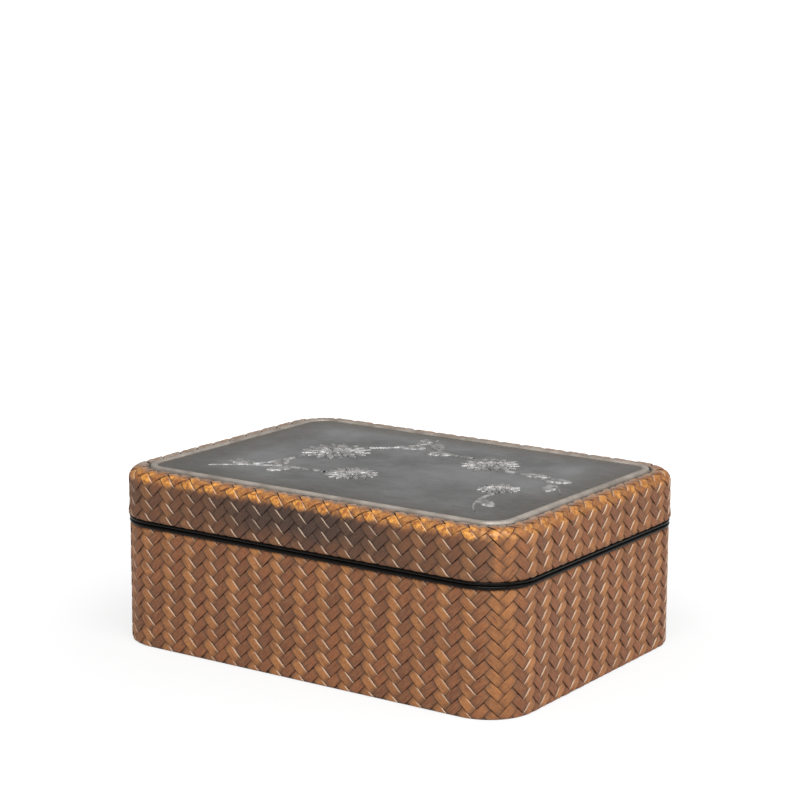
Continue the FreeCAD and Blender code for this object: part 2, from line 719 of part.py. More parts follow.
def make_rest(side, left):
    """A bar between the tray's front wall and the divider, notched for the four tools."""
    body = new_body(f"tool_rest_{side}")
    block = [("0", "0"), (TOOL_ROOM, "0"), (TOOL_ROOM, "rest_height"), ("0", "rest_height")]
    face = polygon(body, f"rest_{side}_face", block, "YZ_Plane", (TRAY_FRONT, TRAY_FLOOR_TOP, left))
    pad(body, face, "rest_thickness")
    middle = f"{left} + rest_thickness / 2"
    notches = new_sketch(body, f"rest_{side}_notches", "YZ_Plane", (TRAY_FRONT, TOOL_HEIGHT, middle))
    for index, radius in enumerate(TOOLS.values()):
        across = value(tool_across(index))
        size = value(f"{radius} + tool_clearance")
        centre = FreeCAD.Vector(across, 0, 0)
        notches.addGeometry(Part.Circle(centre, FreeCAD.Vector(0, 0, 1), size))
        notches.addConstraint(Sketcher.Constraint("PointOnObject", index, 3, -1))
        along = Sketcher.Constraint("DistanceX", -1, 1, index, 3, across)
        drive(notches, along, f"across_{index}", tool_across(index))
        wide = Sketcher.Constraint("Radius", index, size)
        drive(notches, wide, f"notch_{index}", f"{radius} + tool_clearance")
    pocket(body, notches, "2 * rest_thickness", "Symmetric")
    return body


# What the tray holds
def make_inkstone():
    """A stone with a shallow well whose floor slopes down into the deep sea at its left end."""
    body = new_body("inkstone")
    across, deep = STONE_MIDDLE
    block = round_rectangle(body, "stone", STONE_LENGTH, STONE_DEPTH, "stone_corner",
                            (across, deep, TRAY_FLOOR_TOP))
    pad(body, block, "stone_height")
    bevel(body, STONE_TOP, "stone_bevel")
    well_length = f"({STONE_LENGTH} - 2 * stone_border)"
    well_depth = f"({STONE_DEPTH} - 2 * stone_border)"
    land = round_rectangle(body, "land", well_length, well_depth, "well_corner",
                           (across, deep, STONE_TOP))
    pocket(body, land, "land_depth")
    before = body.Tip.Shape.Volume
    sea_left = f"({STONE_LEFT} + stone_border + sea_ledge)"
    brim = round_rectangle(body, "sea_brim", "sea_length", f"{well_depth} - 2 * sea_ledge",
                           "well_corner - sea_ledge",
                           (f"{sea_left} + sea_length / 2", deep, f"{STONE_TOP} - land_depth"))
    bed = round_rectangle(body, "sea_bed", "sea_length - sea_wall - sea_slope",
                          f"{well_depth} - 2 * sea_ledge - 2 * sea_wall", "sea_corner",
                          (f"{sea_left} + (sea_length + sea_wall - sea_slope) / 2", deep,
                           f"{STONE_TOP} - sea_depth"))
    sea = body.newObject("PartDesign::SubtractiveLoft", "sea")
    sea.Profile = brim
    sea.Sections = [bed]
    sea.Ruled = True
    doc.recompute()
    if sea.Shape.Volume >= before:
        raise RuntimeError("the sea cuts nothing")
    return body


def make_dropper():
    """A hollow metal water dropper: a shell with an air hole, its base plate and a short spout."""
    middle = (SIDE_MIDDLE, f"{TRAY_BACK} - dropper_gap - dropper_depth / 2")
    shell_bottom = f"({TRAY_FLOOR_TOP} + dropper_base_height)"
    shell_top = f"({shell_bottom} + dropper_height)"
    base = new_body("dropper_base")
    size = ("dropper_length", "dropper_depth", "dropper_corner")
    pad(base, round_rectangle(base, "base", *size, (*middle, TRAY_FLOOR_TOP)), "dropper_base_height")
    body = new_body("dropper_shell")
    pad(body, round_rectangle(body, "shell", *size, (*middle, shell_bottom)), "dropper_height")
    bevelled = bevel(body, shell_top, "dropper_bevel")
    hollow(body, bevelled, shell_bottom, "dropper_wall")
    air_hole = disc(body, "air_hole", "XY_Plane", (*middle, shell_top), "air_hole_radius")
    pocket(body, air_hole, "2 * dropper_wall")
    end = f"{SIDE_MIDDLE} + dropper_length / 2"
    spout_height = f"{shell_bottom} + spout_height"
    mouth = disc(body, "spout_hole", "YZ_Plane", (middle[1], spout_height, end),
                       "spout_bore_radius")
    pocket(body, mouth, "4 * dropper_wall", "Symmetric")
    profile = [("0", "spout_bore_radius"), ("spout_length", "spout_bore_radius"),
               ("spout_length", "spout_mouth_radius"), ("0", "spout_root_radius")]
    spout = turned("dropper_spout", profile, (end, middle[1], spout_height))
    return [base, body, spout]


def make_ink_stick():
    body = new_body("ink_stick")
    place = (SIDE_MIDDLE, f"{REAR_FRONT} + stick_gap + stick_depth / 2", TRAY_FLOOR_TOP)
    pad(body, round_rectangle(body, "stick", "stick_length", "stick_depth", "stick_corner", place),
        "stick_height")
    bevel(body, TRAY_FLOOR_TOP, "stick_bevel")
    bevel(body, f"{TRAY_FLOOR_TOP} + stick_height", "stick_bevel")
    return body


def tool_place(name, left):
    across = tool_across(list(TOOLS).index(name))
    return (left, f"{TRAY_FRONT} + {across}", TOOL_HEIGHT)


def make_brush(name):
    """A bamboo handle, its bundle of hair and the bamboo cap pushed over both."""
    radius = TOOLS[name]
    stem = [("0", "0"), ("0", f"{radius} - tool_edge"), ("tool_edge", radius),
            ("brush_length", radius), ("brush_length", "0")]
    handle = turned(f"{name}_handle", stem, tool_place(name, TOOL_LEFT))
    full = f"{radius} - tip_inset"
    hair = [("0", "0"), ("0", full), ("tip_length * 0.45", full),
            ("tip_length * 0.8", f"({full}) * 0.5"), ("tip_length", "point_radius"), ("tip_length", "0")]
    tip = turned(f"{name}_tip", hair, tool_place(name, f"{TOOL_LEFT} + brush_length"))
    bore = CAP_BORE.format(brush=radius)
    outside = CAP_RADIUS.format(brush=radius)
    tube = [("0", bore), ("0", outside), (f"{CAP_LENGTH} - tool_edge", outside),
            (CAP_LENGTH, f"{outside} - tool_edge"), (CAP_LENGTH, "0"),
            (f"{CAP_LENGTH} - cap_end", "0"), (f"{CAP_LENGTH} - cap_end", bore)]
    cap = turned(f"{name}_cap", tube, tool_place(name, CAP_LEFT))
    return [handle, tip, cap]


def make_handle(name):
    """A turned handle that reaches past the right rest, and its ferrule."""
    radius = TOOLS[name]
    grip = [("0", "0"), ("0", f"{radius} - tool_edge"), ("tool_edge", radius),
            (f"{HANDLE_LENGTH} - handle_overhang", radius), (HANDLE_LENGTH, "ferrule_radius"),
            (HANDLE_LENGTH, "0")]
    handle = turned(f"{name}_handle", grip, tool_place(name, TOOL_LEFT))
    sleeve = [("0", "0"), ("0", "ferrule_radius"), ("ferrule_length", "ferrule_radius - tool_edge"),
              ("ferrule_length", "0")]
    ferrule = turned(f"{name}_ferrule", sleeve, tool_place(name, f"{TOOL_LEFT} + {HANDLE_LENGTH}"))
    return [handle, ferrule]


def make_awl():
    start = f"{TOOL_LEFT} + {HANDLE_LENGTH} + ferrule_length"
    spike = [("0", "0"), ("0", "awl_radius"), ("awl_length * 0.2", "awl_radius"),
             ("awl_length", "point_radius"), ("awl_length", "0")]
    return make_handle("awl") + [turned("awl_blade", spike, tool_place("awl", start))]


def make_knife():
    blade = new_body("knife_blade")
    left, across, height = tool_place("knife", f"{TOOL_LEFT} + {HANDLE_LENGTH} + ferrule_length")
    edge = [("0", "0"), ("blade_length - blade_width", "0"), ("blade_length", "blade_width"),
            ("0", "blade_width")]
    corner = (left, f"{across} - blade_width / 2", f"{height} - blade_thickness / 2")
    pad(blade, polygon(blade, "blade_plan", edge, place=corner), "blade_thickness")
    return make_handle("knife") + [blade]


def check_and_write(parts):
    """Stop on a failed feature or a bad solid, then write one file for each piece."""
    for item in doc.Objects:
        if "Invalid" in item.State or "Error" in item.State:
            raise RuntimeError(f"{item.Name} failed: {item.State}")
    os.makedirs("parts", exist_ok=True)
    for part in parts:
        if part.Shape.isNull() or not part.Shape.isValid():
            raise RuntimeError(f"{part.Label} has no valid shape")
        part.Shape.exportStep(f"parts/{part.Label}.step")
        print(part.Label, len(part.Shape.Solids), round(part.Shape.Volume))


pieces = make_box() + make_tray_rests() + make_lid() + make_panel()
pieces += [make_flower(f"flower_{number}") for number in range(1, 5)]
pieces += [make_stems_and_leaves()]
pieces += make_tray() + [make_inkstone()] + make_dropper() + [make_ink_stick()]
pieces += make_brush("brush_large") + make_brush("brush_small") + make_awl() + make_knife()
check_and_write(pieces)
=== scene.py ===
import json
import math

import bmesh
import bpy
import numpy as np
from mathutils import Matrix, Vector


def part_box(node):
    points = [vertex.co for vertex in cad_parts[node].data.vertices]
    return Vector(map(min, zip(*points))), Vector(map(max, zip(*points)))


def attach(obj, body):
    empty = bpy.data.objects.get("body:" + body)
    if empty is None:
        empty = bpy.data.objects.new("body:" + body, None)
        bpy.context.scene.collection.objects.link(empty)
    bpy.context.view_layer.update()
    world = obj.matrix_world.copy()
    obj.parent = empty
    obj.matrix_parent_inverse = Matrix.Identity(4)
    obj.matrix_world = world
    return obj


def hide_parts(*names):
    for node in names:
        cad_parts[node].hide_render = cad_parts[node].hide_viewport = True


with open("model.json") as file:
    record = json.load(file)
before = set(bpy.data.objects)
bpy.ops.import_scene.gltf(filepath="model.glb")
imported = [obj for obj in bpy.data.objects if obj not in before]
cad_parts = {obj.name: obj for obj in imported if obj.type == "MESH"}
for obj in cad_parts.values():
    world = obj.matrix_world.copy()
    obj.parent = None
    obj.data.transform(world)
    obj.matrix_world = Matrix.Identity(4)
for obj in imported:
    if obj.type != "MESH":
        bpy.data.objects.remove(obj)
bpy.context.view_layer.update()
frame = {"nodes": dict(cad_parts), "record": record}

# Ink box with a woven skin. Sizes here are in millimetres, and pieces are made in metres.
MM = 0.001
random = np.random.default_rng(7)


def low(node):
    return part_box(node)[0] / MM


def high(node):
    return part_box(node)[1] / MM


def middle_and_half(node):
    """The middle of a node's box, and half its size each way."""
    return (low(node) + high(node)) / 2, (high(node) - low(node)) / 2


# Sizes read from the frame
LENGTH = high("lid_rim").x - low("lid_rim").x
DEPTH = high("lid_rim").y - low("lid_rim").y
BOX_RIM_BOTTOM = low("box_rim").z
SEAM = high("box_rim").z
LID_RIM_TOP = high("lid_rim").z
BASE_TOP = high("base_rim").z
WEAVE_TOP = high("lid_weave").z
CREST = high("panel_frame").z
PANEL_TOP = high("panel").z
BOX_INSET = LENGTH / 2 - high("box_weave").x
FRAME_OUTER = LENGTH / 2 - high("panel_frame").x
FRAME_INNER = LENGTH / 2 - high("panel").x
BASE_INSET = LENGTH / 2 - high("base_rim").x
LIP_OUTER = LENGTH / 2 - high("inner_lip").x
TRAY_OUTER = LENGTH / 2 - high("tray_frame").x

# Sizes of the outline, as in the model
CORNER = 25.4
TOP_ROUND = 5.5
LID_INNER = 5.4
LIP_THICKNESS = 1.8
TRAY_WALL = 3.0
BASE_WIDTH = 8.0
TOOL_EDGE = 0.8
CAP_CLEARANCE = 0.3
CAP_END = 2.0
STICK_CORNER = 2.5
LEDGE_WIDTH = 1.1
FRAME_GROOVE = 0.7

# The weave: columns of slanting strips round the walls
COLUMNS = 57
STRIP_GAP = 0.03
STRIP_SIDE = 0.9
STRIP_DIVE = 1.0
BACKING_DEPTH = 0.85
WEAVE_FOOT = 0.45
BOX_WEAVE_TOP = BOX_RIM_BOTTOM - 0.45
BOX_PHASE = 1.65
STAIN_PLACE = -2.0
STAIN_REACH = 56.0
FIRST_COLUMN = 1.1


# Outline of the box
STRAIGHT_X = LENGTH - 2 * CORNER
STRAIGHT_Y = DEPTH - 2 * CORNER
ARC = math.pi / 2 * CORNER
PERIMETER = 2 * STRAIGHT_X + 2 * STRAIGHT_Y + 4 * ARC
STRIP = PERIMETER / COLUMNS / (2 * math.sqrt(2))
SIDES = [(STRAIGHT_X / 2, 0.0, None), (ARC, 0.0, (1, -1)), (STRAIGHT_Y, 90.0, None), (ARC, 90.0, (1, 1)),
         (STRAIGHT_X, 180.0, None), (ARC, 180.0, (-1, 1)), (STRAIGHT_Y, 270.0, None),
         (ARC, 270.0, (-1, -1)), (STRAIGHT_X / 2, 360.0, None)]


def outline(along):
    """Points and outward normals on the lid's outer outline, from distances along it.

    Distance 0 is the middle of the front wall, and it grows towards the right end.
    """
    along = np.mod(np.asarray(along, float), PERIMETER)
    points = np.zeros(along.shape + (2,))
    normals = np.zeros(along.shape + (2,))
    start = np.array([0.0, -DEPTH / 2])
    passed = 0.0
    for length, heading, corner in SIDES:
        mask = (along >= passed - 1e-9) & (along <= passed + length + 1e-9)
        step = along[mask] - passed
        if corner is None:
            angle = np.full(step.shape, math.radians(heading))
            points[mask] = start + np.stack([np.cos(angle), np.sin(angle)], -1) * step[:, None]
            course = np.array([math.cos(math.radians(heading)), math.sin(math.radians(heading))])
            start = start + course * length
        else:
            angle = math.radians(heading) + step / CORNER
            centre = np.array([corner[0] * STRAIGHT_X / 2, corner[1] * STRAIGHT_Y / 2])
            points[mask] = centre + CORNER * np.stack([np.sin(angle), -np.cos(angle)], -1)
            turned = math.radians(heading + 90)
            start = centre + CORNER * np.array([math.sin(turned), -math.cos(turned)])
        normals[mask] = np.stack([np.sin(angle), -np.cos(angle)], -1)
        passed += length
    return points, normals


def at_inset(along, inset, height):
    """Points in space at distances along the outline, insets from it and heights."""
    points, normals = outline(along)
    inset = np.asarray(inset, float)
    flat = points - normals * inset[..., None]
    return np.concatenate([flat, np.broadcast_to(height, inset.shape)[..., None]], -1)


def stations(straight_step, arc_steps):
    """Distances along the outline: evenly spaced on each straight side and round each corner."""
    found = []
    passed = 0.0
    for length, _, corner in SIDES:
        count = arc_steps if corner else max(1, round(length / straight_step))
        found += [passed + length * index / count for index in range(count)]
        passed += length
    return np.array(found)


# Meshes: the angle in degrees above which an edge is sharp, and the steps round a ring
SHARP = 40
RING_STEP = 12.0
RING_ARC_STEPS = 20


def grid_faces(rows, columns, close_rows=False, close_columns=False):
    """Four-sided faces over rows of points, and round either way where it closes."""
    faces = []
    for row in range(rows if close_rows else rows - 1):
        for column in range(columns if close_columns else columns - 1):
            a = row * columns + column
            b = row * columns + (column + 1) % columns
            c = ((row + 1) % rows) * columns + (column + 1) % columns
            d = ((row + 1) % rows) * columns + column
            faces.append((a, b, c, d))
    return faces


def stack_faces(rows, columns):
    """Faces round a stack of closed rows, with one face to close it below and one above."""
    faces = grid_faces(rows, columns, close_columns=True)
    faces.append(tuple(reversed(range(columns))))
    faces.append(tuple((rows - 1) * columns + index for index in range(columns)))
    return faces


def add_piece(name, points, faces, body, slot, nodes, sharp=SHARP, finish=None):
    """A mesh from points in millimetres, riding on a body, in place of some CAD nodes.

    Its edges are sharp where faces meet at more than the given angle in degrees. It has its slot's
    material, unless another finish is named.
    """
    mesh = bpy.data.meshes.new(name)
    mesh.from_pydata((np.asarray(points) * MM).tolist(), [], faces)
    mesh.validate()
    mesh.shade_smooth()
    piece = bpy.data.objects.new(name, mesh)
    bpy.context.scene.collection.objects.link(piece)
    mesh.set_sharp_from_angle(angle=math.radians(sharp))
    mesh.materials.append(FINISHES[finish or slot])
    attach(piece, body)
    for node in nodes:
        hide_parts(node)
    return piece


def rows_round(profile):
    """Points round the outline, one row for each inset and height of a profile, and their number in a row."""
    along = stations(RING_STEP, RING_ARC_STEPS)
    rows = [at_inset(along, np.full(along.shape, inset), height) for inset, height in profile]
    return np.concatenate(rows), len(along)


def swept_ring(name, profile, body, slot, nodes, sharp=SHARP, finish=None):
    """A closed profile of insets and heights, carried round the outline."""
    points, count = rows_round(profile)
    faces = grid_faces(len(profile), count, close_rows=True, close_columns=True)
    return add_piece(name, points, faces, body, slot, nodes, sharp, finish)


def round_profile(centre, radius, start, end, steps):
    """Points on an arc of insets and heights, by angles in degrees from straight inwards."""
    angles = np.radians(np.linspace(start, end, steps))
    return [(centre[0] + radius * math.cos(a), centre[1] + radius * math.sin(a)) for a in angles]


# Materials
def set_inputs(node, values):
    """Link or set a node's inputs by name or number; a colour may leave out its alpha."""
    for key, value in values.items():
        socket = node.inputs[key]
        if hasattr(value, "is_output"):
            node.id_data.links.new(value, socket)
        elif isinstance(value, (tuple, list)) and len(value) == 3 and len(socket.default_value) == 4:
            socket.default_value = (*value, 1.0)
        else:
            socket.default_value = value


def add_node(tree, kind, values=None, **settings):
    node = tree.nodes.new(kind)
    for key, value in settings.items():
        setattr(node, key, value)
    set_inputs(node, values or {})
    return node


def noise(tree, vector, scale, detail, roughness=0.55):
    node = add_node(tree, "ShaderNodeTexNoise",
                    {"Vector": vector, "Scale": scale, "Detail": detail, "Roughness": roughness})
    return node.outputs["Fac"]


def math_node(tree, operation, first, second=0.0, clamp=False):
    node = add_node(tree, "ShaderNodeMath", {0: first, 1: second}, operation=operation, use_clamp=clamp)
    return node.outputs[0]


def times(tree, first, second, clamp=False):
    return math_node(tree, "MULTIPLY", first, second, clamp)


def remap(tree, value, low_in, high_in, low_out=0.0, high_out=1.0):
    node = add_node(tree, "ShaderNodeMapRange", {"Value": value, "From Min": low_in, "From Max": high_in,
                                                 "To Min": low_out, "To Max": high_out})
    return node.outputs["Result"]


def mix_colour(tree, factor, first, second, blend="MIX"):
    node = add_node(tree, "ShaderNodeMix", data_type="RGBA", blend_type=blend)
    sockets = [socket for socket in node.inputs if socket.type == "RGBA"]
    set_inputs(node, {"Factor": factor})
    for socket, value in zip(sockets, (first, second)):
        if hasattr(value, "is_output"):
            tree.links.new(value, socket)
        else:
            socket.default_value = (*value, 1.0)
    return [socket for socket in node.outputs if socket.type == "RGBA"][0]


def washed(tree, tone, mask, amount, colour):
    """A tone with a colour over it, as far as a mask and an amount say."""
    return mix_colour(tree, times(tree, mask, amount), tone, colour)


def scaled(tree, vector, scale):
    node = add_node(tree, "ShaderNodeMapping", {"Vector": vector, "Scale": scale})
    return node.outputs["Vector"]


def attribute(tree, name, output="Fac"):
    return add_node(tree, "ShaderNodeAttribute", attribute_name=name).outputs[output]


def object_place(tree):
    return add_node(tree, "ShaderNodeTexCoord").outputs["Object"]


def new_group(name, inputs, outputs):
    """An empty shader group with named sockets: its tree, its inputs and its output node."""
    tree = bpy.data.node_groups.new(name, "ShaderNodeTree")
    for socket, (kind, value) in inputs.items():
        item = tree.interface.new_socket(socket, in_out="INPUT", socket_type=kind)
        if value is not None:
            item.default_value = value
    for socket, kind in outputs.items():
        tree.interface.new_socket(socket, in_out="OUTPUT", socket_type=kind)
    entry = tree.nodes.new("NodeGroupInput")
    leave = tree.nodes.new("NodeGroupOutput")
    return tree, entry.outputs, leave


def placed_group(tree, group, values):
    node = tree.nodes.new("ShaderNodeGroup")
    node.node_tree = group
    set_inputs(node, values)
    return node.outputs


def make_fibre_group():
    """Fine lengthwise fibres with a few darker streaks, along the first axis of the vector."""
    tree, entry, leave = new_group(
        "Fibres", {"Vector": ("NodeSocketVector", None), "Fineness": ("NodeSocketFloat", 1.0)},
        {"Fibre": "NodeSocketFloat", "Streak": "NodeSocketFloat"})
    stretched = scaled(tree, entry["Vector"], (0.16, 1.0, 1.0))
    fine = noise(tree, stretched, entry["Fineness"], 4.0, 0.7)
    broad = noise(tree, scaled(tree, entry["Vector"], (0.1, 0.35, 1.0)), entry["Fineness"], 2.0)
    set_inputs(leave, {"Fibre": remap(tree, fine, 0.3, 0.7), "Streak": remap(tree, broad, 0.52, 0.7)})
    return tree


def make_mottle_group():
    """Cloudy patches at two sizes, in object space."""
    tree, entry, leave = new_group(
        "Mottle", {"Vector": ("NodeSocketVector", None), "Scale": ("NodeSocketFloat", 40.0)},
        {"Broad": "NodeSocketFloat", "Fine": "NodeSocketFloat"})
    broad = noise(tree, entry["Vector"], entry["Scale"], 3.0)
    finer = times(tree, entry["Scale"], 9.0)
    fine = noise(tree, entry["Vector"], finer, 4.0, 0.65)
    set_inputs(leave, {"Broad": remap(tree, broad, 0.35, 0.65), "Fine": remap(tree, fine, 0.3, 0.7)})
    return tree


FIBRES = make_fibre_group()
MOTTLE = make_mottle_group()


def clouds(tree, place, scale):
    return placed_group(tree, MOTTLE, {"Vector": place, "Scale": scale})


def new_material(name):
    """A material with its tree and its surface shader."""
    material = bpy.data.materials.new(name)
    material.use_nodes = True
    tree = material.node_tree
    return material, tree, tree.nodes["Principled BSDF"]


def bump(tree, height, strength, distance):
    node = add_node(tree, "ShaderNodeBump", {"Height": height, "Strength": strength, "Distance": distance})
    return node.outputs["Normal"]


def finish_surface(surface, tone, rough, relief, strength, distance):
    normal = bump(surface.id_data, relief, strength, distance)
    set_inputs(surface, {"Base Color": tone, "Roughness": rough, "Normal": normal})


def make_woven_material():
    """Stained cane: fibres, a tint for each strip, dirt at its ends, dust, stain and worn gloss, and painted
    light: lit and shaded strips, edge highlights and shadows, and shade in the gaps.
    """
    material, tree, surface = new_material("woven_cane")
    place = object_place(tree)
    grain = placed_group(tree, FIBRES, {"Vector": attribute(tree, "grain", "Vector"), "Fineness": 1.5})
    cloud = clouds(tree, place, 26.0)
    speckle = remap(tree, noise(tree, place, 1400.0, 2.0, 0.6), 0.3, 0.7)
    tint = attribute(tree, "tint")
    crown = attribute(tree, "crown")
    worn = attribute(tree, "wear")
    dust = attribute(tree, "dust")
    # Painted light: a shaded and a lit tone of the same cane, mixed by each strip's painted lit share
    # ("cane").
    deep = mix_colour(tree, tint, (0.140, 0.038, 0.015), (0.275, 0.082, 0.026))
    light = mix_colour(tree, tint, (0.285, 0.098, 0.027), (0.465, 0.180, 0.050))
    strip = mix_colour(tree, attribute(tree, "cane"), deep, light)
    strip = washed(tree, strip, grain["Streak"], 0.7, (0.110, 0.034, 0.018))
    strip = washed(tree, strip, grain["Fibre"], 0.4, (0.50, 0.26, 0.115))
    dusty = mix_colour(tree, speckle, (0.085, 0.042, 0.024), (0.215, 0.125, 0.080))
    ends = remap(tree, crown, 0.85, 0.2, 0.0, 0.65)
    strip = mix_colour(tree, ends, strip, dusty)
    strip = washed(tree, strip, speckle, 0.42, (0.070, 0.034, 0.022))
    blotch = remap(tree, noise(tree, place, 420.0, 3.0, 0.7), 0.36, 0.62)
    golden = mix_colour(tree, blotch, (0.25, 0.062, 0.010), (0.80, 0.37, 0.075))
    # Worn bare cane with its gloss; the wear mask is stronger on the strips painted lit, so this is partly a
    # painted highlight.
    bare_and_sheen = times(tree, worn, remap(tree, blotch, 0.0, 0.5, 0.55, 1.0), clamp=True)
    gilt = times(tree, bare_and_sheen, remap(tree, crown, 0.15, 0.6, 0.35, 0.95))
    strip = mix_colour(tree, gilt, strip, golden)
    powder = mix_colour(tree, speckle, (0.17, 0.14, 0.115), (0.40, 0.345, 0.29))
    settled = times(tree, dust, remap(tree, cloud["Fine"], 0.2, 0.8, 0.4, 0.95))
    strip = mix_colour(tree, settled, strip, powder)
    soot = mix_colour(tree, speckle, (0.024, 0.015, 0.012), (0.085, 0.052, 0.038))
    strip = mix_colour(tree, attribute(tree, "stain"), strip, soot)
    # Painted shadow along each strip's shaded open edge, then a painted highlight in cream along its lit open
    # edge.
    shadow = attribute(tree, "dark")
    strip = mix_colour(tree, shadow, strip, (0.008, 0.004, 0.003))
    strip = washed(tree, strip, attribute(tree, "pale"), 0.75, (0.68, 0.52, 0.39))
    # Painted shade: near black where a strip sinks low, at its sides and where it dives under the next; this
    # also paints the backing sheet.
    hollow = remap(tree, crown, 0.25, 0.02, 0.0, 0.97)
    strip = mix_colour(tree, hollow, strip, (0.022, 0.012, 0.009))
    rough = remap(tree, bare_and_sheen, 0.0, 1.0, 0.55, 0.22)
    rough = math_node(tree, "ADD", rough, times(tree, ends, 0.25))
    rough = math_node(tree, "ADD", rough, times(tree, dust, 0.3))
    rough = math_node(tree, "ADD", rough, times(tree, shadow, 0.4), clamp=True)
    finish_surface(surface, strip, rough, grain["Fibre"], 0.5, 0.0003)
    set_inputs(surface, {"Coat Weight": times(tree, bare_and_sheen, 0.3)})
    surface.inputs["Coat Roughness"].default_value = 0.18
    surface.inputs["Specular IOR Level"].default_value = 0.3
    return material


def make_lacquer(name, colour, roughness, fleck, gloss):
    """Glossy lacquer with faint dust and scuffs."""
    material, tree, surface = new_material(name)
    cloud = clouds(tree, object_place(tree), 60.0)
    dust = times(tree, cloud["Fine"], fleck)
    tone = mix_colour(tree, dust, colour, (0.22, 0.19, 0.17))
    rough = remap(tree, cloud["Broad"], 0.0, 1.0, roughness, roughness + 0.16)
    finish_surface(surface, tone, rough, cloud["Fine"], 0.05, 0.0002)
    surface.inputs["Specular IOR Level"].default_value = gloss
    return material


def make_metal(name, dark, pale, roughness, metallic, scale, dents):
    """Aged metal or stone with cloudy patches of two tones and small dents."""
    material, tree, surface = new_material(name)
    cloud = clouds(tree, object_place(tree), scale)
    tone = mix_colour(tree, cloud["Broad"], dark, pale)
    tone = washed(tree, tone, cloud["Fine"], 0.25, dark)
    rough = remap(tree, cloud["Fine"], 0.0, 1.0, roughness, roughness + 0.12)
    finish_surface(surface, tone, rough, cloud["Fine"], dents, 0.0004)
    surface.inputs["Metallic"].default_value = metallic
    return material


def make_pewter():
    """Dull grey metal with soft clouds, fine rubbing marks and a browner border, with painted shading: darker
    towards the front and paler towards the back.
    """
    material, tree, surface = new_material("panel_pewter")
    place = object_place(tree)
    cloud = clouds(tree, place, 28.0)
    marks = remap(tree, noise(tree, scaled(tree, place, (90, 700, 1)), 1.0, 4.0, 0.7), 0.45, 0.75)
    axes = add_node(tree, "ShaderNodeSeparateXYZ", {"Vector": place}).outputs
    half_length = (LENGTH / 2 - FRAME_INNER) * MM
    half_depth = (DEPTH / 2 - FRAME_INNER) * MM
    across = math_node(tree, "DIVIDE", math_node(tree, "ABSOLUTE", axes["X"]), half_length)
    deep = math_node(tree, "DIVIDE", math_node(tree, "ABSOLUTE", axes["Y"]), half_depth)
    border = remap(tree, math_node(tree, "MAXIMUM", across, deep), 0.74, 1.0, 0.0, 0.9)
    tone = mix_colour(tree, cloud["Broad"], (0.20, 0.198, 0.196), (0.33, 0.33, 0.332))
    tone = mix_colour(tree, border, tone, (0.165, 0.145, 0.12))
    # Painted shading: the plate is darker towards the front and paler towards the back.
    back = remap(tree, axes["Y"], -DEPTH / 2 * MM, DEPTH / 2 * MM, 0.0, 1.0)
    paler = mix_colour(tree, back, (0.80, 0.80, 0.79), (1.12, 1.12, 1.13))
    tone = mix_colour(tree, 1.0, tone, paler, "MULTIPLY")
    tone = washed(tree, tone, cloud["Fine"], 0.22, (0.12, 0.118, 0.115))
    tone = washed(tree, tone, marks, 0.3, (0.42, 0.42, 0.42))
    rough = remap(tree, cloud["Fine"], 0.0, 1.0, 0.34, 0.48)
    finish_surface(surface, tone, rough, cloud["Fine"], 0.10, 0.0004)
    surface.inputs["Metallic"].default_value = 0.6
    return material


def make_wood(name, dark, pale, roughness, stretch):
    """Wood or bamboo with grain along X."""
    material, tree, surface = new_material(name)
    along = scaled(tree, object_place(tree), stretch)
    grain = placed_group(tree, FIBRES, {"Vector": along, "Fineness": 1.0})
    cloud = clouds(tree, object_place(tree), 30.0)
    tone = mix_colour(tree, grain["Fibre"], dark, pale)
    tone = washed(tree, tone, cloud["Broad"], 0.35, dark)
    rough = remap(tree, grain["Fibre"], 0.0, 1.0, roughness, roughness + 0.15)
    finish_surface(surface, tone, rough, grain["Fibre"], 0.15, 0.0002)
    return material


# Materials by slot. A lacquer has a colour, roughness, dust and gloss; a metal has two tones, roughness,
# a share of metal, a scale and dents; a wood has two tones, roughness and stretch.
LACQUERS = {"black_lacquer": ((0.003, 0.0026, 0.0022), 0.16, 0.015, 0.1),
            "inner_lacquer": ((0.024, 0.009, 0.006), 0.24, 0.03, 0.14)}
METALS = {"frame_metal": ((0.27, 0.235, 0.20), (0.44, 0.39, 0.345), 0.42, 0.35, 90.0, 0.08),
          "dull_frame_metal": ((0.085, 0.07, 0.058), (0.22, 0.19, 0.16), 0.5, 0.3, 300.0, 0.2),
          "relief_silver": ((0.20, 0.195, 0.19), (0.56, 0.55, 0.54), 0.36, 0.5, 260.0, 0.3),
          "slate": ((0.030, 0.031, 0.034), (0.065, 0.066, 0.07), 0.5, 0.0, 45.0, 0.25),
          "dropper_brass": ((0.20, 0.11, 0.045), (0.50, 0.33, 0.15), 0.34, 0.9, 60.0, 0.12),
          "ink": ((0.012, 0.012, 0.013), (0.03, 0.029, 0.028), 0.42, 0.0, 80.0, 0.2),
          "steel": ((0.24, 0.24, 0.25), (0.50, 0.50, 0.51), 0.3, 1.0, 120.0, 0.1)}
WOODS = {"bamboo": ((0.36, 0.22, 0.09), (0.62, 0.44, 0.22), 0.3, (400, 2600, 2600)),
         "hair": ((0.10, 0.06, 0.035), (0.34, 0.23, 0.14), 0.6, (500, 6000, 6000)),
         "handle_wood": ((0.08, 0.03, 0.014), (0.20, 0.085, 0.036), 0.3, (200, 1400, 1400)),
         "core_wood": ((0.34, 0.21, 0.11), (0.55, 0.38, 0.22), 0.6, (60, 420, 420))}
FINISHES = {"woven_rattan": make_woven_material(), "panel_pewter": make_pewter()}
for maker, table in ((make_lacquer, LACQUERS), (make_metal, METALS), (make_wood, WOODS)):
    FINISHES |= {name: maker(name, *values) for name, values in table.items()}


# Woven skins
def smooth_step(value, start, end):
    """A smooth rise from 0 at the start to 1 at the end."""
    share = np.clip((value - start) / (end - start), 0.0, 1.0)
    return share * share * (3 - 2 * share)


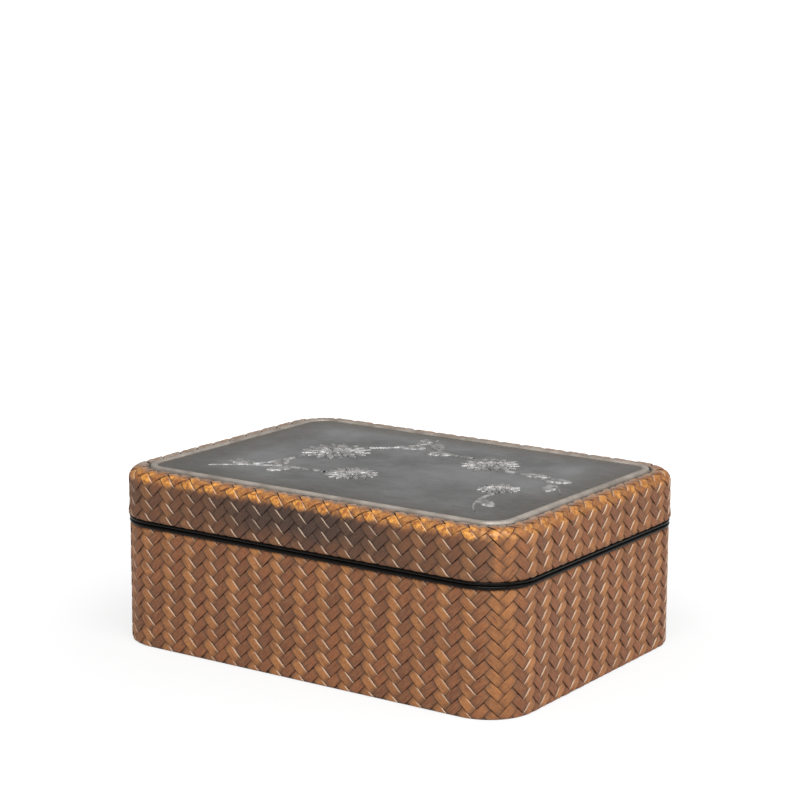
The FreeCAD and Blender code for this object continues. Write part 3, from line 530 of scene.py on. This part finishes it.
def strip_grid():
    """One strip's top and sides: distances along and across it, its heights and its crown mask."""
    half = STRIP * 0.5 * (1 - STRIP_GAP)
    along = STRIP * np.array([-1.4, -1.2, -1.04, -0.86, -0.5, -0.3, 0.0, 0.3, 0.5, 0.86, 1.04, 1.2, 1.4])
    across = half * np.array([-1.0, -1.0, -0.95, -0.88, -0.78, 0.0, 0.78, 0.88, 0.95, 1.0, 1.0])
    side = np.array([-STRIP_SIDE, -0.36, -0.12, -0.01, 0.02, 0.05, 0.02, -0.01, -0.12, -0.36, -STRIP_SIDE])
    u, v = np.meshgrid(along, across, indexing="ij")
    side = np.broadcast_to(side, u.shape)
    height = side - STRIP_DIVE * smooth_step(np.abs(u), 0.5 * STRIP, 1.35 * STRIP)
    ends = 1 - smooth_step(np.abs(u), 0.3 * STRIP, 1.15 * STRIP)
    level = np.clip(1 + side / STRIP_SIDE, 0, 1)
    return u, v, height, ends * 0.9 * level ** 1.5 + 0.1 * level


def open_edge(u, v, sign):
    """Mask of the half of a long edge that stands free, because the next strip dives under it there; it
    places the painted highlights and painted shadows on the strips' edges.
    """
    half = STRIP * 0.5 * (1 - STRIP_GAP)
    rim = smooth_step(sign[1] * v, 0.86 * half, 0.95 * half)
    reach = sign[0] * u / STRIP
    return rim * smooth_step(reach, -0.5, -0.3) * (1 - smooth_step(reach, 0.95, 1.2))


def strip_centres(start, end, phase):
    """Centres of the strips between two heights: along the outline, up the wall and the slant."""
    column = PERIMETER / COLUMNS
    row = math.sqrt(2) * STRIP
    centres = []
    for index in range(COLUMNS):
        for slant, shift, lift in ((-1, 0.0, -0.25), (1, 0.5, 0.25)):
            for step in range(math.floor((start - 2 * STRIP) / row), math.ceil((end + 2 * STRIP) / row) + 1):
                height = (step + lift) * row + phase
                if start - 1.3 * STRIP < height < end + 1.3 * STRIP:
                    centres.append((FIRST_COLUMN + (index + shift) * column, height, slant))
    return centres


def unrolled_weave(start, end, phase):
    """All strips of a skin on the flat, each a little off its place: points, faces and values."""
    u, v, height, crown = strip_grid()
    size = u.size
    centres = strip_centres(start, end, phase)
    faces_one = grid_faces(*u.shape)
    points, faces, values = [], [], []
    for number, (along, rise, slant) in enumerate(centres):
        turn = math.radians(45 + random.normal(0, 0.7)) * slant
        lean = random.normal(0, 0.012)
        lift = random.normal(0, 0.05)
        wide = 1 - abs(random.normal(0, 0.012))
        x = along + random.normal(0, 0.06) + u * math.cos(turn) - v * wide * math.sin(turn)
        y = rise + random.normal(0, 0.06) + u * math.sin(turn) + v * wide * math.cos(turn)
        top = height + lift + lean * v
        points.append(np.stack([x, y, top], -1).reshape(-1, 3))
        seed = random.uniform(0, 500)
        tint = random.uniform(0, 1)
        grain = np.stack([u + seed, v + seed * 0.37, np.full(u.shape, seed)], -1).reshape(-1, 3)
        # Painted highlight along the open edge on the lit side, and painted shadow along the open edge on the
        # shaded side.
        pale = open_edge(u, v, (-slant, 1)).reshape(-1) * random.uniform(0.55, 1.0)
        dark = open_edge(u, v, (slant, -1)).reshape(-1)
        values.append(np.column_stack([grain, np.full(size, tint), crown.reshape(-1), np.full(size, slant),
                                       pale, dark]))
        faces += [tuple(number * size + corner for corner in face) for face in faces_one]
    return np.concatenate(points), faces, np.concatenate(values)


STRIP_VALUES = ("grain_x", "grain_y", "grain_z", "tint", "crown", "slant", "pale", "dark")
SHADE_MASKS = ("tint", "crown", "cane", "pale", "dark", "wear", "dust", "stain")


def write_layer(mesh, name, data, kind="FLOAT", field="value"):
    """A named value for each point of a mesh."""
    layer = mesh.attributes.new(name, kind, "POINT")
    layer.data.foreach_set(field, data.astype(np.float32).ravel())


def clipped(points, faces, values, start, end):
    """The unrolled strips, cut off at the skin's lower and upper edge."""
    mesh = bpy.data.meshes.new("unrolled")
    mesh.from_pydata(points.tolist(), [], faces)
    for index, name in enumerate(STRIP_VALUES):
        write_layer(mesh, name, values[:, index])
    work = bmesh.new()
    work.from_mesh(mesh)
    for edge, direction in ((start, (0, -1, 0)), (end, (0, 1, 0))):
        everything = work.verts[:] + work.edges[:] + work.faces[:]
        bmesh.ops.bisect_plane(work, geom=everything, plane_co=(0, edge, 0), plane_no=direction,
                               clear_outer=True)
    work.to_mesh(mesh)
    work.free()
    count = len(mesh.vertices)
    flat = np.zeros(count * 3)
    mesh.vertices.foreach_get("co", flat)
    kept = {}
    for name in STRIP_VALUES:
        data = np.zeros(count)
        mesh.attributes[name].data.foreach_get("value", data)
        kept[name] = data
    polygons = [tuple(face.vertices) for face in mesh.polygons]
    bpy.data.meshes.remove(mesh)
    return flat.reshape(-1, 3), polygons, kept


def painted_lit_share(along, slant):
    """How light a strip is painted: one slant on the long walls, the other on the ends. It is painted light,
    lit and shaded tones of the same cane.
    """
    _, normals = outline(along)
    long_wall = normals[:, 1] ** 2
    return np.where(slant < 0, long_wall, 1 - long_wall)


def lid_surface(along, rise, height):
    """Up the lid's wall, over its rounded edge and in to the panel's frame."""
    arc_start = WEAVE_TOP - TOP_ROUND
    angle = np.clip((rise - arc_start) / TOP_ROUND, 0, math.pi / 2)
    radius = TOP_ROUND + height
    past = np.clip(rise - arc_start - TOP_ROUND * math.pi / 2, 0, None)
    inset = TOP_ROUND - radius * np.cos(angle) + past
    level = np.minimum(rise, arc_start) + radius * np.sin(angle)
    hem = 0.55 * np.exp(-((rise - LID_RIM_TOP - 2.0) / 2.2) ** 2)
    tuck = 0.9 * np.clip(1 - (rise - LID_RIM_TOP) / 0.9, 0, 1) ** 2
    return at_inset(along, inset - hem + tuck, level)


def box_surface(along, rise, height):
    """Up the box's wall, rounded in towards the foot rim."""
    foot = 0.45 * np.clip(1 - (rise - WEAVE_FOOT) / 1.2, 0, 1) ** 2
    tuck = 0.7 * np.clip(1 - (BOX_WEAVE_TOP - rise) / 0.9, 0, 1) ** 2
    return at_inset(along, BOX_INSET - height + foot + tuck, rise)


def wall_backing(surface, start, end, steps):
    """A dark sheet just under the strips, so that nothing shows between them: painted shade in the gaps, as
    its material paints anything with no crown near black.
    """
    along = stations(6.0, 12)
    rises = np.linspace(start, end, steps)
    depth = np.full(along.shape, -BACKING_DEPTH)
    rows = [surface(along, np.full(along.shape, rise), depth) for rise in rises]
    return np.concatenate(rows), grid_faces(steps, len(along), close_columns=True)


def make_skin(name, surface, start, end, phase, node, body, shade):
    """A woven skin between two heights, laid on its surface, with masks for its material."""
    points, faces, values = unrolled_weave(start, end, phase)
    flat, faces, kept = clipped(points, faces, values, start, end)
    placed = surface(flat[:, 0], flat[:, 1], flat[:, 2])
    backing, backing_faces = wall_backing(surface, start, end, 24)
    count = len(placed)
    faces += [tuple(count + corner for corner in face) for face in backing_faces]
    everything = np.concatenate([placed, backing])
    piece = add_piece(name, everything, faces, body, "woven_rattan", [node], sharp=50)
    # Painted light: each strip is painted lit or shaded by its slant and its wall. The painted highlights
    # stay on the lit strips, the painted shadows are weaker on the shaded ones, and the wear is stronger on
    # the lit strips, so it is partly a painted highlight.
    kept["cane"] = painted_lit_share(flat[:, 0], kept["slant"])
    kept["pale"] = kept["pale"] * smooth_step(kept["cane"], 0.6, 0.95)
    kept["dark"] = kept["dark"] * (0.35 + 0.65 * kept["cane"])
    kept["wear"], kept["dust"], kept["stain"] = shade(flat[:, 0], flat[:, 1], placed)
    kept["wear"] = kept["wear"] * (0.45 + 0.55 * kept["cane"])
    del kept["slant"]
    kept = {key: np.concatenate([data, np.zeros(len(backing))]) for key, data in kept.items()}
    grain = np.column_stack([kept["grain_x"], kept["grain_y"], kept["grain_z"]])
    write_layer(piece.data, "grain", grain, "FLOAT_VECTOR", "vector")
    for name in SHADE_MASKS:
        write_layer(piece.data, name, kept[name])


def lid_shade(along, rise, placed):
    """Golden worn gloss round the front and right edge, dust by the frame, and a stain on the front."""
    share = (rise - WEAVE_TOP + TOP_ROUND) / (TOP_ROUND * math.pi / 2)
    _, normals = outline(along)
    towards = smooth_step(normals[:, 0] - normals[:, 1], -0.6, 0.6)
    ragged = share + (0.07 * np.sin(along / 1.9) + 0.05 * np.sin(along / 0.83))
    worn = smooth_step(ragged, 0.0, 0.28) * (1 - 0.9 * smooth_step(ragged, 0.8, 1.12))
    dust = smooth_step(share, 0.85, 1.3) * 0.7
    dust = np.maximum(dust, (1 - towards) * smooth_step(share, 0.3, 0.7))
    front = placed[:, 1] < -DEPTH / 2 + TOP_ROUND
    spread = 0.25 * np.sin(placed[:, 0] / 6.1) + 0.2 * np.sin(placed[:, 0] / 2.7 + rise)
    core = np.exp(-(np.abs(placed[:, 0] - STAIN_PLACE) / STAIN_REACH) ** 4)
    core = core * smooth_step(rise + 5 * spread, 64, 78)
    stain = front * (1 - smooth_step(ragged, 0.0, 0.2)) * np.clip(0.42 + 0.5 * core, 0, 1)
    ends = 1 - 0.4 * smooth_step(normals[:, 0], 0.5, 0.95)
    return worn * (0.15 + 0.85 * towards) * ends, dust, stain


def box_shade(along, rise, placed):
    """A little wear at the corners; it takes the same values as lid_shade and needs the first alone."""
    _, normals = outline(along)
    corner = 1 - np.abs(np.abs(normals[:, 0]) - np.abs(normals[:, 1]))
    return corner ** 3 * 0.18, np.zeros(len(along)), np.zeros(len(along))


def make_skins():
    make_skin("box_weave_strips", box_surface, WEAVE_FOOT, BOX_WEAVE_TOP, BOX_PHASE, "box_weave", "box",
              box_shade)
    top = WEAVE_TOP - TOP_ROUND + TOP_ROUND * math.pi / 2 + FRAME_OUTER - TOP_ROUND + 0.25
    make_skin("lid_weave_strips", lid_surface, LID_RIM_TOP, top, 0.0, "lid_weave", "lid", lid_shade)


# Rims
def make_rims():
    """The round lacquered beads at the seam, the foot rim and the lip's liner."""
    middle = (BOX_WEAVE_TOP + SEAM) / 2 - 0.1
    bead = round_profile((1.0, middle), 1.0, 250, 120, 12)
    box = [(LIP_OUTER, BOX_WEAVE_TOP), (1.25, BOX_WEAVE_TOP), *bead, (1.5, SEAM - 0.12), (2.4, SEAM),
           (LIP_OUTER, SEAM)]
    swept_ring("box_rim_bead", box, "box", "black_lacquer", ["box_rim"])
    bead = round_profile((0.8, LID_RIM_TOP - 0.78), 0.8, 250, 100, 12)
    lid = [(LID_INNER, SEAM), (1.9, SEAM + 0.05), *bead, (1.2, LID_RIM_TOP - 0.02),
           (LID_INNER, LID_RIM_TOP - 0.02)]
    swept_ring("lid_rim_bead", lid, "lid", "black_lacquer", ["lid_rim"])
    foot = [(BASE_INSET + 0.3, 0.0), (BASE_INSET, 0.3), (BASE_INSET, BASE_TOP - 0.02),
            (BASE_INSET + BASE_WIDTH, BASE_TOP - 0.02), (BASE_INSET + BASE_WIDTH, 0.0)]
    swept_ring("foot_rim", foot, "box", "black_lacquer", ["base_rim"])
    edge = LIP_OUTER + LIP_THICKNESS
    floor, top = low("inner_lip").z, high("inner_lip").z
    half = LIP_THICKNESS / 2
    crown = round_profile((LIP_OUTER + half, top - half), half, 180, 0, 9)
    lip = [(edge, floor), (LIP_OUTER, floor), *crown]
    swept_ring("inner_lip_liner", lip, "box", "inner_lacquer", ["inner_lip"])


# Panel, its frame and the relief
def make_panel():
    """The frame as a flat ledge and a round bead with a groove between them, and the plate."""
    outer, inner = FRAME_OUTER, FRAME_INNER
    groove = outer + LEDGE_WIDTH
    ledge = [(outer, WEAVE_TOP - 1.2), (outer, WEAVE_TOP - 0.1), (outer + 0.25, WEAVE_TOP + 0.1),
             (groove - 0.25, WEAVE_TOP + 0.08), (groove, WEAVE_TOP - 0.15), (groove + 0.1, WEAVE_TOP - 1.1),
             (groove + 0.1, WEAVE_TOP - 1.2)]
    swept_ring("panel_frame_ledge", ledge, "lid", "frame_metal", ["panel_frame"], 60, "dull_frame_metal")
    middle = (groove + FRAME_GROOVE + inner) / 2
    half = (inner - groove - FRAME_GROOVE) / 2
    rise = CREST - WEAVE_TOP + 0.5
    bead = [(middle - half * math.cos(a), CREST - rise + rise * math.sin(a) ** 0.7)
            for a in np.linspace(0.1, math.pi - 0.06, 17)]
    bead = [(groove + 0.05, WEAVE_TOP - 1.2), (groove + 0.05, WEAVE_TOP - 1.1), *bead,
            (inner, PANEL_TOP - 0.6), (inner, WEAVE_TOP - 1.2)]
    swept_ring("panel_frame_bead", bead, "lid", "frame_metal", ["panel_frame"], sharp=60)
    points, count = rows_round([(inner, low("panel").z), (inner, PANEL_TOP)])
    add_piece("panel_plate", points, stack_faces(2, count), "lid", "panel_pewter", ["panel"])


# Relief on the panel, where the model has it. A stem has its flower, angle, length and bow; a leaf has
# its stem, its share of the way along it and its turn; a ring of petals has their number, start, end,
# crest, slimness and turn.
STEMS = [("flower_1", -118, 52, 8), ("flower_2", -160, 62, -7), ("flower_3", -30, 56, 8),
         ("flower_4", -72, 36, -4), ("flower_1", 62, 42, -6), ("flower_3", 155, 44, 6)]
LEAVES = [(0, 0.25, 48), (0, 0.6, -42), (1, 0.3, 40), (1, 0.66, -45), (2, 0.18, 42), (2, 0.66, -46),
          (2, 0.45, 40), (3, 0.4, 46), (4, 0.35, -40), (4, 0.65, 38), (5, 0.3, 44), (5, 0.62, -40)]
STEM_GAP = 0.4
STEM_WIDTH = 2.2
STEM_HEIGHT = 0.9
LEAF_LENGTH = 15.0
LEAF_WIDTH = 8.0
PETAL_RINGS = [(16, 0.34, 1.0, 0.55, 0.3, 0.0), (16, 0.26, 0.76, 0.95, 0.34, 0.5),
               (12, 0.16, 0.52, 1.3, 0.36, 0.0)]
HEART_SHARE = 0.24
HEART_HEIGHT = 1.5
HEART_BEADS = 30


def turned_flat(points, centre, angle):
    """Flat points with heights, turned about the origin by degrees and moved to a centre."""
    a = math.radians(angle)
    x = centre[0] + points[:, 0] * math.cos(a) - points[:, 1] * math.sin(a)
    y = centre[1] + points[:, 0] * math.sin(a) + points[:, 1] * math.cos(a)
    return np.column_stack([x, y, points[:, 2]])


def set_down(piece, centre, angle, rise=PANEL_TOP):
    """A sheet's points, turned about the origin, moved to a centre and raised, with its faces."""
    points, faces = piece
    points[:, 2] += rise
    return turned_flat(points, centre, angle), faces


def sheet(x, y, height):
    """Points and faces of a grid, from arrays of its coordinates."""
    return np.column_stack([x.ravel(), y.ravel(), height.ravel()]), grid_faces(*x.shape)


def petal_sheet(start, end, half_width, crest):
    """A petal along X: a ridged spoon that rises from its root and curls down at its round tip."""
    t, v = np.meshgrid(np.linspace(0, 1, 9), np.linspace(-1, 1, 9), indexing="ij")
    wide = half_width * (0.35 + 0.65 * np.sin(t * math.pi * 0.62)) * np.sqrt(1 - t ** 6 * 0.97)
    x = start + (end - start) * t
    ridges = 0.14 * np.cos(v * math.pi * 2.5)
    height = crest * (0.35 + 0.65 * np.sin(t * math.pi * 0.75)) * (1 - 0.75 * v ** 4) + ridges * (1 - t ** 3)
    height = np.where(np.abs(v) > 0.99, -0.1, height)
    return sheet(x, wide * v, height)


def dome(radius, height, rings, around):
    """A dome about the origin, open below."""
    share = np.linspace(0, math.pi / 2, rings)
    turn = np.arange(around) * 2 * math.pi / around
    a, b = np.meshgrid(share, turn, indexing="ij")
    x = radius * np.cos(a) * np.cos(b)
    y = radius * np.cos(a) * np.sin(b)
    points = np.column_stack([x.ravel(), y.ravel(), (height * np.sin(a)).ravel()])
    return points, grid_faces(rings, around, close_columns=True)


def gathered(sheets):
    """Several sheets of points and faces as one."""
    points, faces, count = [], [], 0
    for sheet_points, sheet_faces in sheets:
        faces += [tuple(count + corner for corner in face) for face in sheet_faces]
        points.append(sheet_points)
        count += len(sheet_points)
    return np.concatenate(points), faces


def make_flower(node):
    """Three rings of ridged petals that overlap, and a heart of small beads."""
    centre, half = middle_and_half(node)
    radius = half.x
    sheets = []
    for count, start, end, crest, slim, turn in PETAL_RINGS:
        half_width = slim * math.pi * radius * end / count * 1.25
        for index in range(count):
            petal = petal_sheet(start * radius, end * radius * random.uniform(0.95, 1.0), half_width, crest)
            rise = PANEL_TOP + random.uniform(-0.05, 0.05)
            angle = (index + turn) * 360 / count + random.normal(0, 1.5)
            sheets.append(set_down(petal, centre, angle, rise))
    heart = HEART_SHARE * radius
    sheets.append(set_down(dome(heart, HEART_HEIGHT, 6, 24), centre, 0))
    for index in range(HEART_BEADS):
        away = 0.21 * radius * math.sqrt((index + 0.5) / HEART_BEADS)
        angle = math.radians(index * 137.5)
        rise = PANEL_TOP + HEART_HEIGHT * math.sqrt(max(0.0, 1 - (away / heart) ** 2)) - 0.1
        place = (centre.x + away * math.cos(angle), centre.y + away * math.sin(angle))
        sheets.append(set_down(dome(0.034 * radius + 0.15, 0.45, 3, 8), place, 0, rise))
    add_piece(f"{node}_petals", *gathered(sheets), "lid", "relief_silver", [node], sharp=70)


def stem_start(flower, angle):
    """Where a stem leaves its flower, clear of the petals."""
    centre, half = middle_and_half(flower)
    reach = half.x + STEM_GAP
    turn = math.radians(angle)
    return centre.x + reach * math.cos(turn), centre.y + reach * math.sin(turn)


def stem_sheet(length, bow):
    """A tapering half-round twig along X, bowed to its left, its width swelling a little here and there."""
    t, a = np.meshgrid(np.linspace(0, 1, 25), np.linspace(0, math.pi, 7), indexing="ij")
    slope = 4 * bow * (1 - 2 * t) / length
    half = STEM_WIDTH / 2 * (1 - 0.75 * t ** 1.5) * (1 + 0.12 * np.sin(t * 37))
    x = length * t - np.cos(a) * half * slope / np.hypot(1, slope)
    y = 4 * bow * t * (1 - t) + np.cos(a) * half / np.hypot(1, slope)
    height = STEM_HEIGHT * (1 - 0.5 * t) * np.sin(a) - 0.05
    return sheet(x, y, height)


def leaf_sheet():
    """A lobed leaf along X with a sunk midrib and raised veins."""
    t, v = np.meshgrid(np.linspace(0, 1, 25), np.linspace(-1, 1, 13), indexing="ij")
    lobes = 0.72 + 0.28 * np.abs(np.sin(t * math.pi * 3.0)) ** 0.6
    wide = LEAF_WIDTH / 2 * np.sin(math.pi * t ** 0.8) ** 0.7 * lobes + 0.12
    x = LEAF_LENGTH * t + 0.16 * LEAF_LENGTH * np.abs(v) * (1 - t) * np.sin(math.pi * t)
    veins = 0.10 * np.cos((t * 6 - np.abs(v) * 1.3) * 2 * math.pi)
    height = 0.35 + 0.45 * np.sin(np.abs(v) * math.pi * 0.8) + veins * (1 - v ** 8)
    height = np.where(np.abs(v) > 0.99, -0.1, height) * (0.5 + 0.5 * np.sin(math.pi * t) ** 0.5)
    return sheet(x, wide * v, height)


def make_stems_and_leaves():
    sheets = []
    for flower, angle, length, bow in STEMS:
        sheets.append(set_down(stem_sheet(length, bow), stem_start(flower, angle), angle))
    for stem, share, turn in LEAVES:
        flower, angle, length, bow = STEMS[stem]
        root = np.array([[share * length, 4 * share * (1 - share) * bow, 0.0]])
        place = turned_flat(root, stem_start(flower, angle), angle)[0]
        sheets.append(set_down(leaf_sheet(), place, angle + turn + random.normal(0, 3)))
    add_piece("carved_stems_and_leaves", *gathered(sheets), "lid", "relief_silver", ["stems_and_leaves"],
              sharp=70)


def make_relief():
    for number in range(1, 5):
        make_flower(f"flower_{number}")
    make_stems_and_leaves()


# Tray and tools
SLOTS = {part["node"]: part["material_slot"] for part in frame["record"]["subparts"]}


def turned_piece(name, body, node, profile, around=40, ridges=0.0, clumps=0):
    """A round piece along X on its node's axis, from distances past its left end and radii."""
    centre, _ = middle_and_half(node)
    start = low(node).x
    angles = np.arange(around) * 2 * math.pi / around
    rows = []
    for number, (x, radius) in enumerate(profile):
        wave = 1 + ridges * np.cos(angles * clumps + 0.4 * math.sin(number))
        rows.append(np.column_stack([np.full(around, start + x), centre.y + radius * wave * np.cos(angles),
                                     centre.z + radius * wave * np.sin(angles)]))
    faces = grid_faces(len(profile), around, close_columns=True)
    return add_piece(name, np.concatenate(rows), faces, body, SLOTS[node], [node])


def bamboo_profile(length, radius, edge, nodes):
    """A cane from end to end, with a groove and a soft lip at each node."""
    points = [(0, 0.01), (0, radius - edge), (0.25 * edge, radius - 0.3 * edge), (edge, radius)]
    for share in nodes:
        middle = share * length
        points += [(middle - 2.2, radius), (middle - 0.9, radius - 0.05), (middle - 0.35, radius - 0.32),
                   (middle, radius - 0.06), (middle + 0.35, radius - 0.32), (middle + 0.9, radius - 0.05),
                   (middle + 2.2, radius)]
    points += [(length - edge, radius), (length - 0.25 * edge, radius - 0.3 * edge), (length, radius - edge),
               (length, 0.01)]
    return points


def turned_size(node):
    """Length and radius of a round node along X."""
    half = middle_and_half(node)[1]
    return 2 * half.x, half.z


def make_brush(size):
    """A bamboo handle, a tuft of hair that comes to a point, and a hollow bamboo cap."""
    handle, tip, cap = f"brush_{size}_handle", f"brush_{size}_tip", f"brush_{size}_cap"
    body = f"{size}_brush"
    length, radius = turned_size(handle)
    turned_piece(f"{size}_brush_cane", body, handle, bamboo_profile(length, radius, TOOL_EDGE, (0.3, 0.62)))
    length, root = turned_size(tip)
    hair = [(0, 0.01), (0, root * 0.98)]
    hair += [(t * length, root * max(0.03, math.cos(t * math.pi / 2) ** 0.85))
             for t in np.linspace(0.03, 1, 22)]
    hair.append((length, 0.01))
    turned_piece(f"{size}_brush_hair", body, tip, hair, 54, 0.03, 13)
    length, outside = turned_size(cap)
    bore = radius + CAP_CLEARANCE
    deep = length - CAP_END
    shell = [(deep, 0.01), (deep, bore), (0.3, bore), (0, bore + 0.25), (0, outside - 0.25), (0.3, outside),
             (length * 0.3, outside), (length * 0.3 + 0.5, outside - 0.22), (length * 0.3 + 1.0, outside),
             (length - 2.4, outside), (length - 0.8, outside - 0.25), (length, outside - 1.1), (length, 0.01)]
    turned_piece(f"{size}_cap_cane", f"{size}_cap", cap, shell, 48)


def make_handle(tool):
    """A wooden handle that swells a little towards its middle, and a grooved ferrule."""
    handle, ferrule = f"{tool}_handle", f"{tool}_ferrule"
    length, radius = turned_size(handle)
    wood = [(0, 0.01), (0, radius * 0.6), (0.3, radius * 0.8), (1.2, radius * 0.95)]
    wood += [(x, radius * (0.955 + 0.045 * math.sin(math.pi * x / length)))
             for x in np.linspace(3, length - 3, 12)]
    wood += [(length - 1, radius * 0.93), (length - 0.2, radius * 0.86), (length, radius * 0.78),
             (length, 0.01)]
    turned_piece(f"{tool}_turned_handle", tool, handle, wood)
    length, radius = turned_size(ferrule)
    sleeve = [(0, 0.01), (0, radius - 0.15), (0.2, radius), (1.4, radius), (1.6, radius - 0.25),
              (1.9, radius - 0.25), (2.1, radius), (length - 2.6, radius * 0.9),
              (length - 2.4, radius * 0.82), (length - 2.0, radius * 0.82), (length - 1.8, radius * 0.86),
              (length - 0.3, radius * 0.78), (length, radius * 0.7), (length, 0.01)]
    turned_piece(f"{tool}_grooved_ferrule", tool, ferrule, sleeve)


def rounded_loop(half, corner, inset):
    """A flat rounded rectangle about the origin, as points that run once round it."""
    steps = 10
    half_x, half_y = half.x - corner, half.y - corner
    radius = corner - inset
    points = []
    for quarter, (x, y) in enumerate(((1, -1), (1, 1), (-1, 1), (-1, -1))):
        for step in range(steps + 1):
            angle = (quarter - 1) * math.pi / 2 + step * math.pi / 2 / steps
            points.append((x * half_x + radius * math.cos(angle), y * half_y + radius * math.sin(angle)))
    return np.array(points)


def rounded_block(name, body, node, corner, profile):
    """A closed block with rounded corners, from insets and shares of its height."""
    centre, half = middle_and_half(node)
    rows = []
    for inset, share in profile:
        loop = rounded_loop(half, corner, inset)
        height = np.full(len(loop), low(node).z + share * 2 * half.z)
        rows.append(np.column_stack([loop[:, 0] + centre.x, loop[:, 1] + centre.y, height]))
    faces = stack_faces(len(rows), len(rows[0]))
    return add_piece(name, np.concatenate(rows), faces, body, SLOTS[node], [node])


def make_ink_stick():
    """A moulded stick with soft edges and a sunk field on its top."""
    profile = [(0.9, 0.0), (0.25, 0.03), (0.0, 0.12), (0.0, 0.88), (0.25, 0.97), (0.8, 1.0), (2.0, 1.0),
               (2.25, 0.93), (2.4, 0.92)]
    rounded_block("moulded_ink_stick", "ink_stick", "ink_stick", STICK_CORNER, profile)


def make_tray_wall():
    """The tray's wall, with a rounded top edge."""
    inner = TRAY_OUTER + TRAY_WALL
    bottom, top = low("tray_frame").z, high("tray_frame").z
    half = TRAY_WALL / 2
    crown = round_profile((TRAY_OUTER + half, top - half), half, 180, 0, 11)
    wall = [(inner, bottom), (TRAY_OUTER, bottom), *crown]
    swept_ring("tray_wall", wall, "tray", SLOTS["tray_frame"], ["tray_frame"])


def make_contents():
    make_tray_wall()
    make_brush("large")
    make_brush("small")
    make_handle("awl")
    make_handle("knife")
    make_ink_stick()


def finish_cad_nodes():
    """Materials for all the CAD nodes, of which some show as they are."""
    for node, slot in SLOTS.items():
        piece = frame["nodes"][node]
        piece.data.materials.clear()
        piece.data.materials.append(FINISHES[slot])


finish_cad_nodes()
make_skins()
make_rims()
make_panel()
make_relief()
make_contents()


# Floor, light and camera
def make_floor():
    """A white floor that glows a little where the camera sees it, more so further out."""
    mesh = bpy.data.meshes.new("floor")
    reach = 6.0
    mesh.from_pydata([(-reach, -reach, 0), (reach, -reach, 0), (reach, reach, 0), (-reach, reach, 0)], [],
                     [(0, 1, 2, 3)])
    floor = bpy.data.objects.new("floor", mesh)
    bpy.context.scene.collection.objects.link(floor)
    material, tree, surface = new_material("white_floor")
    set_inputs(surface, {"Base Color": (0.8, 0.8, 0.8), "Roughness": 0.9, "Specular IOR Level": 0.0})
    far = add_node(tree, "ShaderNodeVectorMath", {0: object_place(tree)}, operation="LENGTH").outputs["Value"]
    strength = remap(tree, far, 0.16, 0.5, 1.0, 1.4)
    glow = add_node(tree, "ShaderNodeEmission", {"Color": (1.0, 1.0, 1.0), "Strength": strength})
    seen = add_node(tree, "ShaderNodeMixShader", {"Fac": 0.75, 1: surface.outputs[0], 2: glow.outputs[0]})
    path = add_node(tree, "ShaderNodeLightPath").outputs
    view = math_node(tree, "MAXIMUM", path["Is Camera Ray"], path["Is Transmission Ray"])
    chosen = add_node(tree, "ShaderNodeMixShader",
                      {"Fac": view, 1: surface.outputs[0], 2: seen.outputs[0]})
    tree.links.new(chosen.outputs[0], tree.nodes["Material Output"].inputs["Surface"])
    mesh.materials.append(material)


def make_world():
    """Even white light, weaker in reflections and brighter to the camera."""
    world = bpy.data.worlds.new("studio")
    bpy.context.scene.world = world
    world.use_nodes = True
    tree = world.node_tree
    tree.nodes.clear()
    path = add_node(tree, "ShaderNodeLightPath").outputs
    soft = math_node(tree, "SUBTRACT", 0.5, times(tree, path["Is Glossy Ray"], 0.22))
    view = math_node(tree, "MAXIMUM", path["Is Camera Ray"], path["Is Transmission Ray"])
    strength = math_node(tree, "ADD", soft, times(tree, view, 0.8))
    chosen = add_node(tree, "ShaderNodeBackground", {"Color": (1.0, 1.0, 1.0), "Strength": strength})
    add_node(tree, "ShaderNodeOutputWorld", {"Surface": chosen.outputs[0]})


def bearing(azimuth, elevation):
    """A unit vector by its angle from straight in front and its height angle, in radians."""
    level = math.cos(elevation)
    return Vector((math.sin(azimuth) * level, -math.cos(azimuth) * level, math.sin(elevation)))


def add_lamp(name, azimuth, elevation, distance, size, power):
    """A square soft lamp that points at the box, from a bearing and a height angle in degrees."""
    target = Vector((0, 0, 0.05))
    away = bearing(math.radians(azimuth), math.radians(elevation))
    lamp = bpy.data.lights.new(name, "AREA")
    lamp.size = size
    lamp.energy = power
    holder = bpy.data.objects.new(name, lamp)
    holder.location = target + away * distance
    holder.rotation_euler = away.to_track_quat("Z", "Y").to_euler()
    bpy.context.scene.collection.objects.link(holder)


def make_camera():
    """The photograph's view: bearing, height angle and roll in degrees, distance in box lengths."""
    azimuth, elevation, roll = math.radians(34.4007), math.radians(11.0143), math.radians(0.3188)
    distance = 4.7858 * LENGTH * MM
    target = Vector((0, 0, 0.5258 * LENGTH * MM))
    back = bearing(azimuth, elevation)
    right = Vector((math.cos(azimuth), math.sin(azimuth), 0))
    up = back.cross(right)
    side = right * math.cos(roll) + up * math.sin(roll)
    top = up * math.cos(roll) - right * math.sin(roll)
    camera = bpy.data.cameras.new("camera")
    camera.sensor_width = 36.0
    camera.lens = 101.23
    camera.clip_start = 0.01
    holder = bpy.data.objects.new("camera", camera)
    turn = Matrix((side, top, back)).transposed().to_4x4()
    holder.matrix_world = Matrix.Translation(target + back * distance) @ turn
    bpy.context.scene.collection.objects.link(holder)
    bpy.context.scene.camera = holder


make_floor()
make_world()
add_lamp("key", 38, 58, 1.5, 1.1, 22)
add_lamp("side", 95, 30, 1.6, 0.9, 6)
make_camera()
bpy.context.scene.view_settings.view_transform = "Standard"
